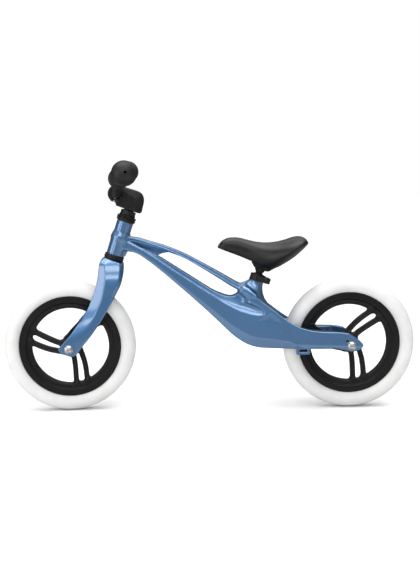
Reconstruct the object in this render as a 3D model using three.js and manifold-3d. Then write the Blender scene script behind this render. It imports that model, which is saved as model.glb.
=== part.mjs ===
// Balance bike for a small child: a cast frame and fork, two foam-tyred wheels with one-piece
// spoked rims, a headset, a quill stem with a riser bar, and a saddle on a clamped post.
// Millimetres. +X points to the rear, -Y to the rider's left, +Z up. The origin lies on the
// ground, midway between the wheel centres.

import * as THREE from 'three';
import { mergeVertices } from 'three/addons/utils/BufferGeometryUtils.js';
import Module from 'manifold-3d';

const wasm = await Module();
wasm.setup();

// ---- driving dimensions ----

const WHEEL_RADIUS = 145;
const WHEELBASE = 616;
const FRONT_X = -WHEELBASE / 2;
const REAR_X = WHEELBASE / 2;
const FIT_GAP = 0.3;

// Steering axis: leans back, through a point in the middle of the head tube.
const STEER_LEAN = THREE.MathUtils.degToRad(19);
const STEER_POINT = new THREE.Vector3(-192, 0, 382);
const STEER_AT_REST = THREE.MathUtils.degToRad(4.5);

// Seat tube axis: leans back, through the middle of the clamp's lower face.
const SEAT_LEAN = THREE.MathUtils.degToRad(17);
const SEAT_POINT = new THREE.Vector3(106, 0, 283);

// The frame and the fork keep this far from the wheel's axis where it turns between them.
const WHEEL_CLEARANCE = 153;

const TYRE_HALF_WIDTH = 22.5;
const RIM_BED_RADIUS = 104;
const RIM_FLANGE_RADIUS = 111.5;
const RIM_LIP_RADIUS = 96.5;
const RIM_INNER_RADIUS = 84.5;
const RIM_HALF_WIDTH = 12.5;
const SPOKE_PAIRS = 3;
const SPOKE_PHASE = THREE.MathUtils.degToRad(285.4);
const SPOKE_WIDTH = 10.5;
const SPOKE_HALF_DEPTH = 8;
const HUB_RADIUS = 17;
const AXLE_RADIUS = 5;
const BEARING_RADIUS = 11;
const BEARING_WIDTH = 8;
const BOLT_HEAD_RADIUS = 9;
const BOLT_HEAD_HEIGHT = 6;

// Half widths of the two wheel mounts: hub, inner face and outer face of the fork or stays.
const FRONT_MOUNT = { hub: 32, inner: 39, outer: 50 };
const REAR_MOUNT = { hub: 36, inner: 44, outer: 56 };

const HEAD_RADIUS = 18;
const HEAD_BORE_RADIUS = 15.2;
const HEAD_TOP = 37.5;
const HEAD_BOTTOM = -39.1;
const STEERER_RADIUS = 12.7;
const STEERER_BORE_RADIUS = 11.3;
const QUILL_RADIUS = 11;

const BAR_RADIUS = 11.1;
const BAR_CENTRE = new THREE.Vector3(-196.4, 0, 478.5);
const GRIP_START = new THREE.Vector3(-189.6, 87.1, 511.3);
const BALL_CENTRE = new THREE.Vector3(-175.7, 193.2, 523.1);
const BALL_RADIUS = 25.5;

const SEAT_POST_RADIUS = 11.1;
const SEAT_STUB_RADIUS = 14.5;
const SADDLE_PIVOT = new THREE.Vector3(113.5, 0, 309);

// The clamp lever's pivot, in the seat tube's own axes.
const CLAMP_PIVOT = new THREE.Vector3(20, -21, 7.7);

// A small hole beside the rear axle, through both stays.
const TAB_HOLE = { x: 298.6, z: 155.5, radius: 3.3 };

// The slotted lug under each stay: its middle across the bike and its thickness.
const LUG_MIDDLE = 48;
const LUG_THICKNESS = 9;

// Shapes that only cut or bound another run this far past it, sideways and up and down.
const PAST_SIDES = 70;
const PAST_BELOW = 80;
const PAST_ABOVE = 420;

// Sides of a round piece, of a wheel, and of a small round piece.
const ROUND = 20;
const WHEEL_ROUND = 36;
const SMALL_ROUND = 12;

// ---- materials ----

function finish(color, roughness, metalness) {
  return new THREE.MeshStandardMaterial({ color, roughness, metalness });
}

const BLUE_METAL = finish(0x4878a5, 0.32, 0.6);
const BLACK_PLASTIC = finish(0x232323, 0.55, 0);
const BLACK_METAL = finish(0x1b1b1c, 0.4, 0.6);
const RUBBER = finish(0x2b2b2b, 0.75, 0);
const FOAM = finish(0xececea, 0.7, 0);
const STEEL = finish(0xb9b8b6, 0.3, 1);

// ---- solids ----

function signedVolume(geometry) {
  const p = geometry.attributes.position;
  const index = geometry.index.array;
  const corner = [new THREE.Vector3(), new THREE.Vector3(), new THREE.Vector3()];
  let volume = 0;
  for (let i = 0; i < index.length; i += 3) {
    corner.forEach((c, k) => c.fromBufferAttribute(p, index[i + k]));
    volume += corner[0].dot(corner[1].cross(corner[2])) / 6;
  }
  return volume;
}

// A closed three.js geometry as a solid, with its faces turned outwards.
function solid(geometry) {
  const bare = geometry.clone();
  bare.deleteAttribute('normal');
  bare.deleteAttribute('uv');
  const merged = mergeVertices(bare, 1e-4);
  const triVerts = Uint32Array.from(merged.index.array);
  if (signedVolume(merged) < 0) {
    for (let i = 0; i < triVerts.length; i += 3) {
      [triVerts[i], triVerts[i + 1]] = [triVerts[i + 1], triVerts[i]];
    }
  }
  const vertProperties = Float32Array.from(merged.attributes.position.array);
  return new wasm.Manifold(new wasm.Mesh({ numProp: 3, vertProperties, triVerts }));
}

function geometryOf(body) {
  const mesh = body.getMesh();
  const geometry = new THREE.BufferGeometry();
  geometry.setAttribute('position', new THREE.BufferAttribute(mesh.vertProperties, 3));
  geometry.setIndex(new THREE.BufferAttribute(mesh.triVerts, 1));
  geometry.computeVertexNormals();
  return geometry;
}

function joined(solids) {
  return solids.reduce((whole, piece) => whole.add(piece));
}

function cut(body, tools) {
  return tools.reduce((left, tool) => left.subtract(tool), body);
}

function named(name, body, material) {
  const mesh = new THREE.Mesh(geometryOf(body), material);
  mesh.name = name;
  return mesh;
}

// ---- outlines and basic forms ----

function points(list) {
  return list.map(([x, y]) => new THREE.Vector2(x, y));
}

// A smooth run through the given points, as a list of points.
function run(list, stepsPerSpan = 2) {
  return new THREE.SplineCurve(points(list)).getPoints(stepsPerSpan * (list.length - 1));
}

// An outline in the XZ plane, made thick about Y = 0.
function sideways(outline, halfWidth, bevel = 0) {
  const geometry = new THREE.ExtrudeGeometry(new THREE.Shape(outline), {
    depth: 2 * (halfWidth - bevel),
    bevelEnabled: bevel > 0,
    bevelThickness: bevel,
    bevelSize: bevel,
    bevelOffset: -bevel,
    bevelSegments: 1,
    curveSegments: 12,
  });
  geometry.translate(0, 0, -(halfWidth - bevel));
  geometry.rotateX(Math.PI / 2);
  return solid(geometry);
}

// An outline in the XY plane, made thick from one height to another.
function upwards(outline, low, high) {
  const geometry = new THREE.ExtrudeGeometry(new THREE.Shape(outline), {
    depth: high - low,
    bevelEnabled: false,
  });
  geometry.translate(0, 0, low);
  return solid(geometry);
}

// The right half of an outline in the YZ plane, mirrored and made long along X.
function lengthwise(half, low, high) {
  const outline = [...half, ...half.map((p) => new THREE.Vector2(-p.x, p.y)).reverse()];
  const geometry = new THREE.ExtrudeGeometry(new THREE.Shape(outline), {
    depth: high - low,
    bevelEnabled: false,
  });
  geometry.rotateX(Math.PI / 2);
  geometry.rotateZ(Math.PI / 2);
  geometry.translate(low, 0, 0);
  return solid(geometry);
}

// The half plan of a piece that is the same on both sides, as a whole outline in the XY plane.
function bothSides(half) {
  const mirrored = half.map((p) => new THREE.Vector2(p.x, -p.y)).reverse();
  return [...half, ...mirrored];
}

// A turned piece: a profile of [radius, height] pairs swept about Z.
function turned(profile, segments = ROUND) {
  const geometry = new THREE.LatheGeometry(points(profile), segments);
  geometry.rotateX(Math.PI / 2);
  return geometry;
}

function ringProfile(inner, outer, low, high) {
  return [[inner, low], [outer, low], [outer, high], [inner, high], [inner, low]];
}

function rodProfile(radius, low, high) {
  return [[0, low], [radius, low], [radius, high], [0, high]];
}

// Places a geometry made about Z on the steering axis.
function onSteering(geometry) {
  geometry.rotateY(STEER_LEAN);
  geometry.translate(STEER_POINT.x, 0, STEER_POINT.z);
  return solid(geometry);
}

// Places a geometry made about Z on the seat tube's axis.
function onSeat(geometry) {
  geometry.rotateY(SEAT_LEAN);
  geometry.translate(SEAT_POINT.x, 0, SEAT_POINT.z);
  return solid(geometry);
}

// Places a geometry made about Z across the bike, its Z pointing to the rider's left (-Y).
function across(geometry, x, z) {
  geometry.rotateX(Math.PI / 2);
  geometry.translate(x, 0, z);
  return solid(geometry);
}

function block(sizeX, sizeY, sizeZ) {
  return new THREE.BoxGeometry(sizeX, sizeY, sizeZ);
}

function circleOutline(x, z, radius, segments) {
  const outline = [];
  for (let i = 0; i < segments; i += 1) {
    const angle = (2 * Math.PI * i) / segments;
    outline.push(new THREE.Vector2(x + radius * Math.cos(angle), z + radius * Math.sin(angle)));
  }
  return outline;
}

// ---- frame ----

// The main casting seen from the side: down tube, body and stays.
function beamOutline() {
  const underside = run([
    [-186, 352], [-152, 343], [-113, 315], [-73, 283], [-34, 248], [6, 211], [46, 172],
    [66, 155], [86, 144], [108, 139], [130, 139],
  ]);
  const stayTail = points([[276, 139], [300, 133], [309, 132], [326, 136], [333, 144]]);
  const stayTop = run([
    [315, 163], [300, 173], [280, 175], [243, 176], [210, 182], [188, 190], [166, 204],
  ]);
  const back = run([[166, 205], [154, 217], [137, 232], [123, 243], [117, 255], [117, 268]]);
  const top = points([[112, 277], [78, 270], [66, 262]]);
  const window = run([
    [62, 255], [52, 251.5], [40, 252], [26, 257], [7, 266], [-33, 292], [-73, 318], [-112, 344],
    [-150, 366], [-186, 384],
  ]);
  return [...underside, ...stayTail, ...stayTop, ...back, ...top, ...window];
}

// The same casting seen from above: half its width along its length.
function beamPlan() {
  return bothSides([
    ...run([
      [-200, 15], [-120, 16], [-40, 18], [20, 22], [70, 29], [110, 38], [150, 47], [200, 53.5],
      [250, REAR_MOUNT.outer],
    ]),
    new THREE.Vector2(345, REAR_MOUNT.outer),
  ]);
}

// The room that a wheel turns in. It narrows away from the axle, on the side where sign points.
function wheelRoom(centreX, sign, mount) {
  const half = run([
    [centreX - sign * WHEEL_CLEARANCE, 27],
    [centreX - sign * 110, 30],
    [centreX - sign * 60, 36],
    [centreX - sign * 25, mount.inner],
    [centreX + sign * 60, mount.inner],
  ]);
  const circle = circleOutline(centreX, WHEEL_RADIUS, WHEEL_CLEARANCE, 2 * WHEEL_ROUND);
  return upwards(bothSides(half), PAST_BELOW, PAST_ABOVE).intersect(sideways(circle, PAST_SIDES));
}

// A round hole right across the bike.
function crossHole(radius, x, z) {
  return across(turned(rodProfile(radius, -PAST_SIDES, PAST_SIDES), SMALL_ROUND), x, z);
}

function axleHole(centreX) {
  return crossHole(AXLE_RADIUS + FIT_GAP, centreX, WHEEL_RADIUS);
}

function topTube() {
  const upper = run([
    [-184, 384], [-166, 383.5], [-150, 381], [-132, 375], [-92, 363], [-52, 346], [-13, 325],
    [27, 302], [54, 285.5], [70, 279], [80, 281], [90, 288],
  ]);
  const lower = run([
    [104, 262], [72, 262], [62, 268], [47, 275], [27, 288], [-13, 313], [-52, 336], [-92, 350],
    [-132, 363], [-184, 372],
  ]);
  return sideways([...upper, ...lower], 14, 3);
}

// The thin web between the two tubes behind the head tube.
function headWeb() {
  const outline = [[-184, 366], [-184, 380], [-132, 368], [-96, 357], [-96, 349], [-112, 348]];
  return sideways(points(outline), 4.5);
}

function headTube() {
  const outside = [
    [0, HEAD_BOTTOM], [18.6, HEAD_BOTTOM], [19.4, -14], [20.5, -6], [20.5, 2], [HEAD_RADIUS, 14],
    [HEAD_RADIUS, HEAD_TOP], [0, HEAD_TOP],
  ];
  return onSteering(turned(outside));
}

// A slotted lug hangs under each stay.
function lugs() {
  const outline = points([
    [188, 150], [188, 130], [191, 126], [215, 126], [218, 129], [218, 150],
  ]);
  return [-1, 1].map((side) => {
    const geometry = new THREE.ExtrudeGeometry(new THREE.Shape(outline), {
      depth: LUG_THICKNESS,
      bevelEnabled: false,
    });
    geometry.rotateX(Math.PI / 2);
    geometry.translate(0, side * LUG_MIDDLE + LUG_THICKNESS / 2, 0);
    return solid(geometry);
  });
}

function frameSolid() {
  const body = sideways(beamOutline(), PAST_SIDES)
    .intersect(upwards(beamPlan(), PAST_BELOW, PAST_ABOVE));
  const stub = onSeat(turned([
    [0, -40], [17, -40], [15.5, -14], [SEAT_STUB_RADIUS, 0], [SEAT_STUB_RADIUS, 13.5], [0, 13.5],
  ]));
  const whole = joined([body, topTube(), headWeb(), headTube(), stub, ...lugs()]);
  const headBore = onSteering(turned(rodProfile(HEAD_BORE_RADIUS, -60, 60)));
  const seatBore = onSeat(turned(rodProfile(SEAT_POST_RADIUS + FIT_GAP, -95, 20)));
  const tabHole = crossHole(TAB_HOLE.radius, TAB_HOLE.x, TAB_HOLE.z);
  const lugSlot = sideways(
    points([[195, 132], [195, 137.5], [212.5, 137.5], [212.5, 132]]), PAST_SIDES,
  );
  const cuts = [headBore, seatBore, tabHole, lugSlot, axleHole(REAR_X)];
  return cut(whole, [wheelRoom(REAR_X, 1, REAR_MOUNT), ...cuts]);
}

// ---- headset ----

function headset() {
  const lowerCup = onSteering(turned([
    [13.3, -43.4], [18.5, -43.4], [18.5, -48.6], [21.5, -48.6], [21.8, -44], [21.5, -39.4],
    [14.9, -39.4], [14.9, -29.4], [13.3, -29.4], [13.3, -43.4],
  ]));
  const lowerRace = onSteering(turned(ringProfile(13.6, 18.2, -47.6, -43.7)));
  const crownRace = onSteering(turned([
    [13, -50.7], [20.8, -50.7], [20.8, -48.9], [18, -48.9], [18, -47.9], [13, -47.9], [13, -50.7],
  ]));
  const upperCup = onSteering(turned([
    [13.3, 27.8], [14.9, 27.8], [14.9, 37.8], [21, 37.8], [21, 44.9], [18, 44.9], [18, 40.5],
    [13.3, 40.5], [13.3, 27.8],
  ]));
  const upperRace = onSteering(turned(ringProfile(13.6, 17.7, 40.8, 44.9)));
  const washer = onSteering(turned(ringProfile(13, 17.5, 51.4, 52.7)));
  const lockNut = onSteering(turned(rodProfile(15.5, 53, 61.8), 8))
    .subtract(onSteering(turned(rodProfile(13, 50, 65))));
  return {
    frameSide: [
      named('headset_lower_cup', lowerCup, BLACK_METAL),
      named('headset_lower_ball_ring', lowerRace, STEEL),
      named('headset_upper_cup', upperCup, BLACK_METAL),
      named('headset_upper_ball_ring', upperRace, STEEL),
    ],
    forkSide: [
      named('fork_crown_race', crownRace, BLACK_METAL),
      named('headset_adjusting_nut', adjustingNut(), BLACK_METAL),
      named('headset_lock_washer', washer, BLACK_METAL),
      named('headset_lock_nut', lockNut, BLACK_METAL),
    ],
  };
}

// The adjusting nut has a serrated edge to turn it by.
function adjustingNut() {
  const teeth = 18;
  const outline = [];
  for (let i = 0; i < teeth * 4; i += 1) {
    const radius = i % 4 < 2 ? 20.6 : 19;
    const angle = (2 * Math.PI * (i + (i % 2 ? 0.3 : -0.3))) / (teeth * 4);
    outline.push(new THREE.Vector2(radius * Math.cos(angle), radius * Math.sin(angle)));
  }
  const geometry = new THREE.ExtrudeGeometry(new THREE.Shape(outline), {
    depth: 5.9,
    bevelEnabled: false,
  });
  geometry.translate(0, 0, 45.2);
  const bore = onSteering(turned(rodProfile(13, 40, 60)));
  return onSteering(geometry).subtract(bore);
}

// ---- fork ----

function forkSideOutline() {
  const front = run([[-226, 341], [-237, 331], [-240, 316], [-243, 296], [-249, 274], [-256, 254],
    [-273, 219], [-290, 196], [-306, 174], [-325, 152]]);
  const foot = run([[-330, 144.5], [-323, 138.5], [-303, 130], [-291, 136]]);
  const rear = run([[-283, 146], [-258, 175], [-238, 203], [-216, 239], [-203, 262], [-192, 284],
    [-187, 306], [-187, 326], [-196, 333]]);
  return [...front, ...foot, ...rear];
}

// The fork from the front: a rounded crown over two blades that spread to the axle.
function forkFrontHalf() {
  return run([[0, 352], [20, 352], [33, 345], [39, 330], [41.5, 300], [43, 270], [46, 220],
    [FRONT_MOUNT.outer, 170], [FRONT_MOUNT.outer, 120]]);
}

function forkSolid() {
  const arch = lengthwise(forkFrontHalf(), -380, -120);
  const blades = sideways(forkSideOutline(), PAST_SIDES).intersect(arch);
  const capTop = onSteering(turned([[0, -80], [24, -80], [23, -60], [20.8, -51], [0, -51]]));
  const above = onSteering(turned([[0, -51], [60, -51], [60, 0], [0, 0]]));
  const steererBore = onSteering(turned(rodProfile(STEERER_RADIUS + FIT_GAP, -92, -40)));
  const cuts = [above, wheelRoom(FRONT_X, -1, FRONT_MOUNT), steererBore, axleHole(FRONT_X)];
  return cut(joined([blades, capTop]), cuts);
}

function steererSolid() {
  return onSteering(turned(ringProfile(STEERER_BORE_RADIUS, STEERER_RADIUS, -91.5, 60)));
}

// ---- wheels ----

// The rim's section: a bed for the tyre between two flanges, and a narrower inner barrel.
function rimRing() {
  const half = RIM_HALF_WIDTH;
  const section = [
    [RIM_INNER_RADIUS, -8], [RIM_LIP_RADIUS, -half + 2], [RIM_LIP_RADIUS, -half],
    [RIM_FLANGE_RADIUS, -half], [RIM_BED_RADIUS, -half + 2.5],
  ];
  const mirrored = section.map(([radius, height]) => [radius, -height]).reverse();
  return across(turned([...section, ...mirrored, section[0]], WHEEL_ROUND), 0, 0);
}

// One pair of swept spokes, drawn pointing along +X: u runs outwards and w across.
function spokePair() {
  const ribs = [
    [[8, -1.5], [26, -0.5], [46, -3.5], [66, -8], [88, -13.5]],
    [[8, 17], [26, 18.5], [46, 18.5], [66, 16], [88, 11.5]],
  ];
  return ribs.map((centre) => {
    const curve = new THREE.SplineCurve(points(centre));
    const left = [];
    const right = [];
    const steps = 6;
    for (let i = 0; i <= steps; i += 1) {
      const p = curve.getPoint(i / steps);
      const t = curve.getTangent(i / steps);
      left.push(new THREE.Vector2(p.x - (t.y * SPOKE_WIDTH) / 2, p.y + (t.x * SPOKE_WIDTH) / 2));
      right.push(new THREE.Vector2(p.x + (t.y * SPOKE_WIDTH) / 2, p.y - (t.x * SPOKE_WIDTH) / 2));
    }
    return [...left, ...right.reverse()];
  });
}

function wheelRim(mount) {
  const parts = [rimRing()];
  for (let i = 0; i < SPOKE_PAIRS; i += 1) {
    const turn = SPOKE_PHASE - (2 * Math.PI * i) / SPOKE_PAIRS;
    for (const outline of spokePair()) {
      const placed = outline.map((p) => p.clone().rotateAround(new THREE.Vector2(), turn));
      parts.push(sideways(placed, SPOKE_HALF_DEPTH));
    }
  }
  const hub = mount.hub;
  parts.push(across(turned([
    [0, -hub], [HUB_RADIUS - 2, -hub], [HUB_RADIUS, -14], [HUB_RADIUS + 4, -SPOKE_HALF_DEPTH],
    [HUB_RADIUS + 4, SPOKE_HALF_DEPTH], [HUB_RADIUS, 14], [HUB_RADIUS - 2, hub], [0, hub],
  ]), 0, 0));
  const seat = hub - BEARING_WIDTH - FIT_GAP;
  const bore = across(turned([
    [0, -hub - 5], [BEARING_RADIUS + FIT_GAP, -hub - 5], [BEARING_RADIUS + FIT_GAP, -seat],
    [AXLE_RADIUS + 2, -seat], [AXLE_RADIUS + 2, seat], [BEARING_RADIUS + FIT_GAP, seat],
    [BEARING_RADIUS + FIT_GAP, hub + 5], [0, hub + 5],
  ]), 0, 0);
  return joined(parts).subtract(bore);
}

function tyreSolid() {
  const section = [
    [RIM_BED_RADIUS + 0.4, -RIM_HALF_WIDTH + 3], [RIM_FLANGE_RADIUS + 0.4, -RIM_HALF_WIDTH + 2.2],
    [RIM_FLANGE_RADIUS + 0.6, -RIM_HALF_WIDTH - 1], [116, -19.5], [125, -TYRE_HALF_WIDTH],
    [134, -20.3], [141.5, -13.5], [WHEEL_RADIUS, -4.5],
  ];
  const mirrored = section.map(([radius, height]) => [radius, -height]).reverse();
  return across(turned([...section, ...mirrored, section[0]], WHEEL_ROUND), 0, 0);
}

// Everything on one axle; the pieces that turn with the wheel are listed apart from those that
// stay with the frame or the fork.
function wheelSet(prefix, centreX, mount) {
  const spinning = [
    named(`${prefix}_tyre`, tyreSolid(), FOAM),
    named(`${prefix}_rim`, wheelRim(mount), BLACK_PLASTIC),
  ];
  const fixed = [];
  const sides = [['left', 1], ['right', -1]];
  for (const [label, side] of sides) {
    const bearing = ringProfile(
      AXLE_RADIUS + FIT_GAP, BEARING_RADIUS, side * (mount.hub - BEARING_WIDTH), side * mount.hub,
    );
    spinning.push(named(`${prefix}_bearing_${label}`, across(turned(bearing, SMALL_ROUND), 0, 0), STEEL));
    const spacer = ringProfile(
      AXLE_RADIUS + FIT_GAP, 8.5, side * (mount.hub + FIT_GAP), side * (mount.inner - FIT_GAP),
    );
    fixed.push(named(`${prefix}_spacer_${label}`, across(turned(spacer, SMALL_ROUND), 0, 0), STEEL));
    fixed.push(named(`${prefix}_axle_bolt_${label}`, axleBolt(side, mount), STEEL));
  }
  const boltRoom = rodProfile(3.3, mount.outer - 25, mount.outer + 5);
  const otherRoom = rodProfile(3.3, -mount.outer - 5, -mount.outer + 25);
  const axle = across(turned(rodProfile(AXLE_RADIUS, -mount.outer, mount.outer), SMALL_ROUND), 0, 0)
    .subtract(across(turned(boltRoom, 12), 0, 0))
    .subtract(across(turned(otherRoom, 12), 0, 0));
  fixed.push(named(`${prefix}_axle`, axle, STEEL));
  for (const mesh of [...spinning, ...fixed]) {
    mesh.position.set(centreX, 0, WHEEL_RADIUS);
  }
  return [...spinning, ...fixed];
}

// A button-head bolt screwed into the end of the axle, with a hexagon socket.
function axleBolt(side, mount) {
  const face = mount.outer + FIT_GAP;
  const head = [
    [0, mount.outer - 20], [3, mount.outer - 20], [3, face], [BOLT_HEAD_RADIUS, face],
    [BOLT_HEAD_RADIUS, face + 2], [7.4, face + 4.6], [4.5, face + BOLT_HEAD_HEIGHT],
    [0, face + BOLT_HEAD_HEIGHT],
  ];
  const socket = rodProfile(2.9, face + 2.5, face + 10);
  const facing = (profile) => profile.map(([radius, height]) => [radius, side * height]);
  return across(turned(facing(head), 18), 0, 0)
    .subtract(across(turned(facing(socket), 6), 0, 0));
}

// ---- stem and handlebar ----

function stemSolid() {
  const clamp = circleOutline(BAR_CENTRE.x, BAR_CENTRE.z, 20.5, 32);
  const sideFace = [
    ...run([[-196, 498], [-183, 495], [-166, 488.5], [-152, 483], [-143, 476], [-140, 464]], 2),
    ...points([[-147, 433.5], [-200, 451.8], [-200, 470]]),
  ];
  const whole = joined([sideways(sideFace, 22, 4), sideways(clamp, 20, 2)]);
  const post = onSteering(turned(rodProfile(QUILL_RADIUS + FIT_GAP, 40, 94)));
  const boltWell = onSteering(turned(rodProfile(4.3, 90, 130), 16));
  const headWell = onSteering(turned(rodProfile(7.5, 101, 140), 16));
  const barBore = across(turned(rodProfile(BAR_RADIUS + FIT_GAP, -60, 60)), BAR_CENTRE.x, BAR_CENTRE.z);
  const slit = solid(block(4.5, 90, 40).translate(0, 0, -20)
    .rotateY(STEER_LEAN).translate(BAR_CENTRE.x - 1, 0, BAR_CENTRE.z));
  const boltHoles = clampBoltPlaces().map((y) => placedClampBolt(3.3, y, -60, 60, 12));
  return cut(whole, [post, boltWell, headWell, barBore, slit, ...boltHoles]);
}

function clampBoltPlaces() {
  return [-14, 14];
}

// A rod across the clamp's slit, square to it.
function placedClampBolt(radius, y, low, high, segments) {
  const geometry = turned(rodProfile(radius, low, high), segments);
  geometry.rotateY(Math.PI / 2 + STEER_LEAN);
  geometry.translate(BAR_CENTRE.x - 5.3, y, BAR_CENTRE.z - 15.4);
  return solid(geometry);
}

function clampBolts() {
  return clampBoltPlaces().map((y, i) => named(
    `stem_clamp_bolt_${i + 1}`, placedClampBolt(2.9, y, -9, 22, 12), STEEL,
  ));
}

function quillSet() {
  const post = onSteering(turned(ringProfile(4.5, QUILL_RADIUS, -20, 93.7)));
  const wedgeSlope = onSteering(new THREE.BoxGeometry(60, 60, 40).rotateX(0.5).translate(0, 0, -4));
  const wedge = onSteering(turned(ringProfile(4.5, QUILL_RADIUS, -52, -12))).subtract(wedgeSlope);
  const slope = onSteering(new THREE.BoxGeometry(60, 60, 40).rotateX(0.5).translate(0, 0, -43.4));
  const bolt = onSteering(turned([
    [0, -50], [4, -50], [4, 101.3], [7, 101.3], [7, 108], [0, 108],
  ], 16));
  return [
    named('stem_quill_post', post.subtract(slope), BLACK_METAL),
    named('stem_expander_wedge', wedge, STEEL),
    named('stem_expander_bolt', bolt, STEEL),
  ];
}

function barCurve() {
  const outward = BALL_CENTRE.clone().sub(GRIP_START).normalize();
  const gripEnd = GRIP_START.clone().addScaledVector(outward, 112);
  const right = [
    new THREE.Vector3(BAR_CENTRE.x, 12, BAR_CENTRE.z),
    new THREE.Vector3(BAR_CENTRE.x, 25, BAR_CENTRE.z),
    new THREE.Vector3(BAR_CENTRE.x + 0.8, 38, BAR_CENTRE.z + 4),
    new THREE.Vector3(BAR_CENTRE.x + 3.4, 58, BAR_CENTRE.z + 22),
    GRIP_START.clone().addScaledVector(outward, -14),
    GRIP_START.clone().addScaledVector(outward, 6),
    gripEnd,
  ];
  const left = right.map((p) => new THREE.Vector3(p.x, -p.y, p.z)).reverse();
  return new THREE.CatmullRomCurve3([...left, ...right]);
}

function handlebarSolid() {
  const geometry = new THREE.ExtrudeGeometry(new THREE.Shape(circleOutline(0, 0, BAR_RADIUS, 12)), {
    steps: 30,
    bevelEnabled: false,
    extrudePath: barCurve(),
  });
  return solid(geometry);
}

// A soft grip: an inner flange, a ribbed barrel and a ball end with a vent hole.
function gripSolid(side) {
  const length = BALL_CENTRE.distanceTo(GRIP_START);
  const profile = [
    [0, 0], [21, 0], [22, 2.5], [21, 5], [16.5, 8], [15.5, 30], [16.2, 60], [16, length - 24],
  ];
  const ballSteps = 6;
  const neck = Math.asin(16.5 / BALL_RADIUS);
  for (let i = 0; i <= ballSteps; i += 1) {
    const angle = neck + ((Math.PI - neck) * i) / ballSteps;
    profile.push([
      i === ballSteps ? 0 : BALL_RADIUS * Math.sin(angle),
      length - BALL_RADIUS * Math.cos(angle),
    ]);
  }
  const bore = solid(turned(rodProfile(BAR_RADIUS + 2 * FIT_GAP, -5, 113), 18));
  const vent = solid(turned(rodProfile(2.7, 100, length + 40), 8));
  const outward = BALL_CENTRE.clone().sub(GRIP_START).normalize();
  outward.y *= side;
  const turn = new THREE.Quaternion().setFromUnitVectors(new THREE.Vector3(0, 0, 1), outward);
  const body = cut(solid(turned(profile)), [bore, vent]);
  const geometry = geometryOf(body).applyQuaternion(turn);
  geometry.translate(GRIP_START.x, side * GRIP_START.y, GRIP_START.z);
  return solid(geometry);
}

// ---- saddle and its clamp ----

function saddleTop() {
  return run([[21, 360], [26, 368], [33, 375], [43, 379.5], [55, 381], [68, 380], [89, 374],
    [106, 370], [125, 368], [146, 369], [167, 373], [188, 379], [201, 380], [210, 377], [218, 370]]);
}

function saddlePlan() {
  return bothSides(run([
    [21, 0], [23, 9], [32, 17], [55, 21], [90, 26], [120, 37], [150, 54], [180, 66], [203, 64],
    [215, 45], [219, 20], [219.5, 0],
  ]).slice(0, -1));
}

// Where the base sits in the pad, as corners [x, z], and the half widths of both.
const SADDLE_POCKET = [[88, 300], [88, 337], [176, 337], [176, 300]];
const SADDLE_POCKET_HALF = 19;
const SADDLE_BASE_HALF = 18;

// The pad from the end: drawn in under its widest line.
function saddleEnd() {
  return points([[0, 383], [66, 383], [66, 351], [57, 336], [38, 321], [25, 311], [0, 311]]);
}

// The pad hangs down around its base, which sits in a pocket in it.
function saddlePadSolid() {
  const under = run([[217, 364], [202, 350], [185, 336], [167, 324], [150, 314.5], [137, 312],
    [122, 315], [106, 322], [89, 330], [68, 339], [47, 347], [30, 353]]);
  return sideways([...saddleTop(), ...under], PAST_SIDES)
    .intersect(upwards(saddlePlan(), PAST_BELOW, PAST_ABOVE))
    .intersect(lengthwise(saddleEnd(), 0, 240))
    .subtract(sideways(points(SADDLE_POCKET), SADDLE_POCKET_HALF));
}

// The hard base under the pad, with two ears that hold it to the post's head.
function saddleBaseSolid() {
  const belly = run([[95, 326], [99, 317], [104, 313], [128, 304.5], [140, 309], [156, 317],
    [172, 329]]);
  const shell = [...belly, ...points([[173, 335], [94, 335]])];
  const body = sideways(shell, SADDLE_BASE_HALF);
  const ears = sideways([
    ...circleOutline(SADDLE_PIVOT.x, SADDLE_PIVOT.z, 10, 20).slice(10),
    new THREE.Vector2(SADDLE_PIVOT.x + 12, 322),
    new THREE.Vector2(SADDLE_PIVOT.x - 12, 322),
  ], 13);
  const headRoom = sideways(circleOutline(SADDLE_PIVOT.x, SADDLE_PIVOT.z, 13.5, 24), 7.5);
  const boltHole = across(turned(rodProfile(3.4, -20, 20), 12), SADDLE_PIVOT.x, SADDLE_PIVOT.z);
  const boltRecesses = [-1, 1].map((side) => across(
    turned(rodProfile(6.5, side * 13, side * 40), SMALL_ROUND), SADDLE_PIVOT.x, SADDLE_PIVOT.z,
  ));
  return cut(joined([body, ears]), [headRoom, boltHole, ...boltRecesses]);
}

// The post's head is a flat tongue between the saddle's ears.
function seatPostSolid() {
  const post = onSeat(turned(rodProfile(SEAT_POST_RADIUS, -92, 16.5)));
  const tongue = sideways([
    ...circleOutline(SADDLE_PIVOT.x, SADDLE_PIVOT.z, 9.5, 20).slice(0, 11),
    new THREE.Vector2(SADDLE_PIVOT.x - 9.7, 296.2),
    new THREE.Vector2(SADDLE_PIVOT.x + 1.7, 292.7),
  ], 7);
  const boltHole = across(turned(rodProfile(3.4, -20, 20), 12), SADDLE_PIVOT.x, SADDLE_PIVOT.z);
  return joined([post, tongue]).subtract(boltHole);
}

function saddleBolt() {
  const profile = [
    [0, -17], [5, -17], [5, -13.4], [3, -13.4], [3, 13.4], [5.5, 13.4], [5.5, 17.5], [0, 17.5],
  ];
  return across(turned(profile, 12), SADDLE_PIVOT.x, SADDLE_PIVOT.z);
}

// ---- seat clamp ----

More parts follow.
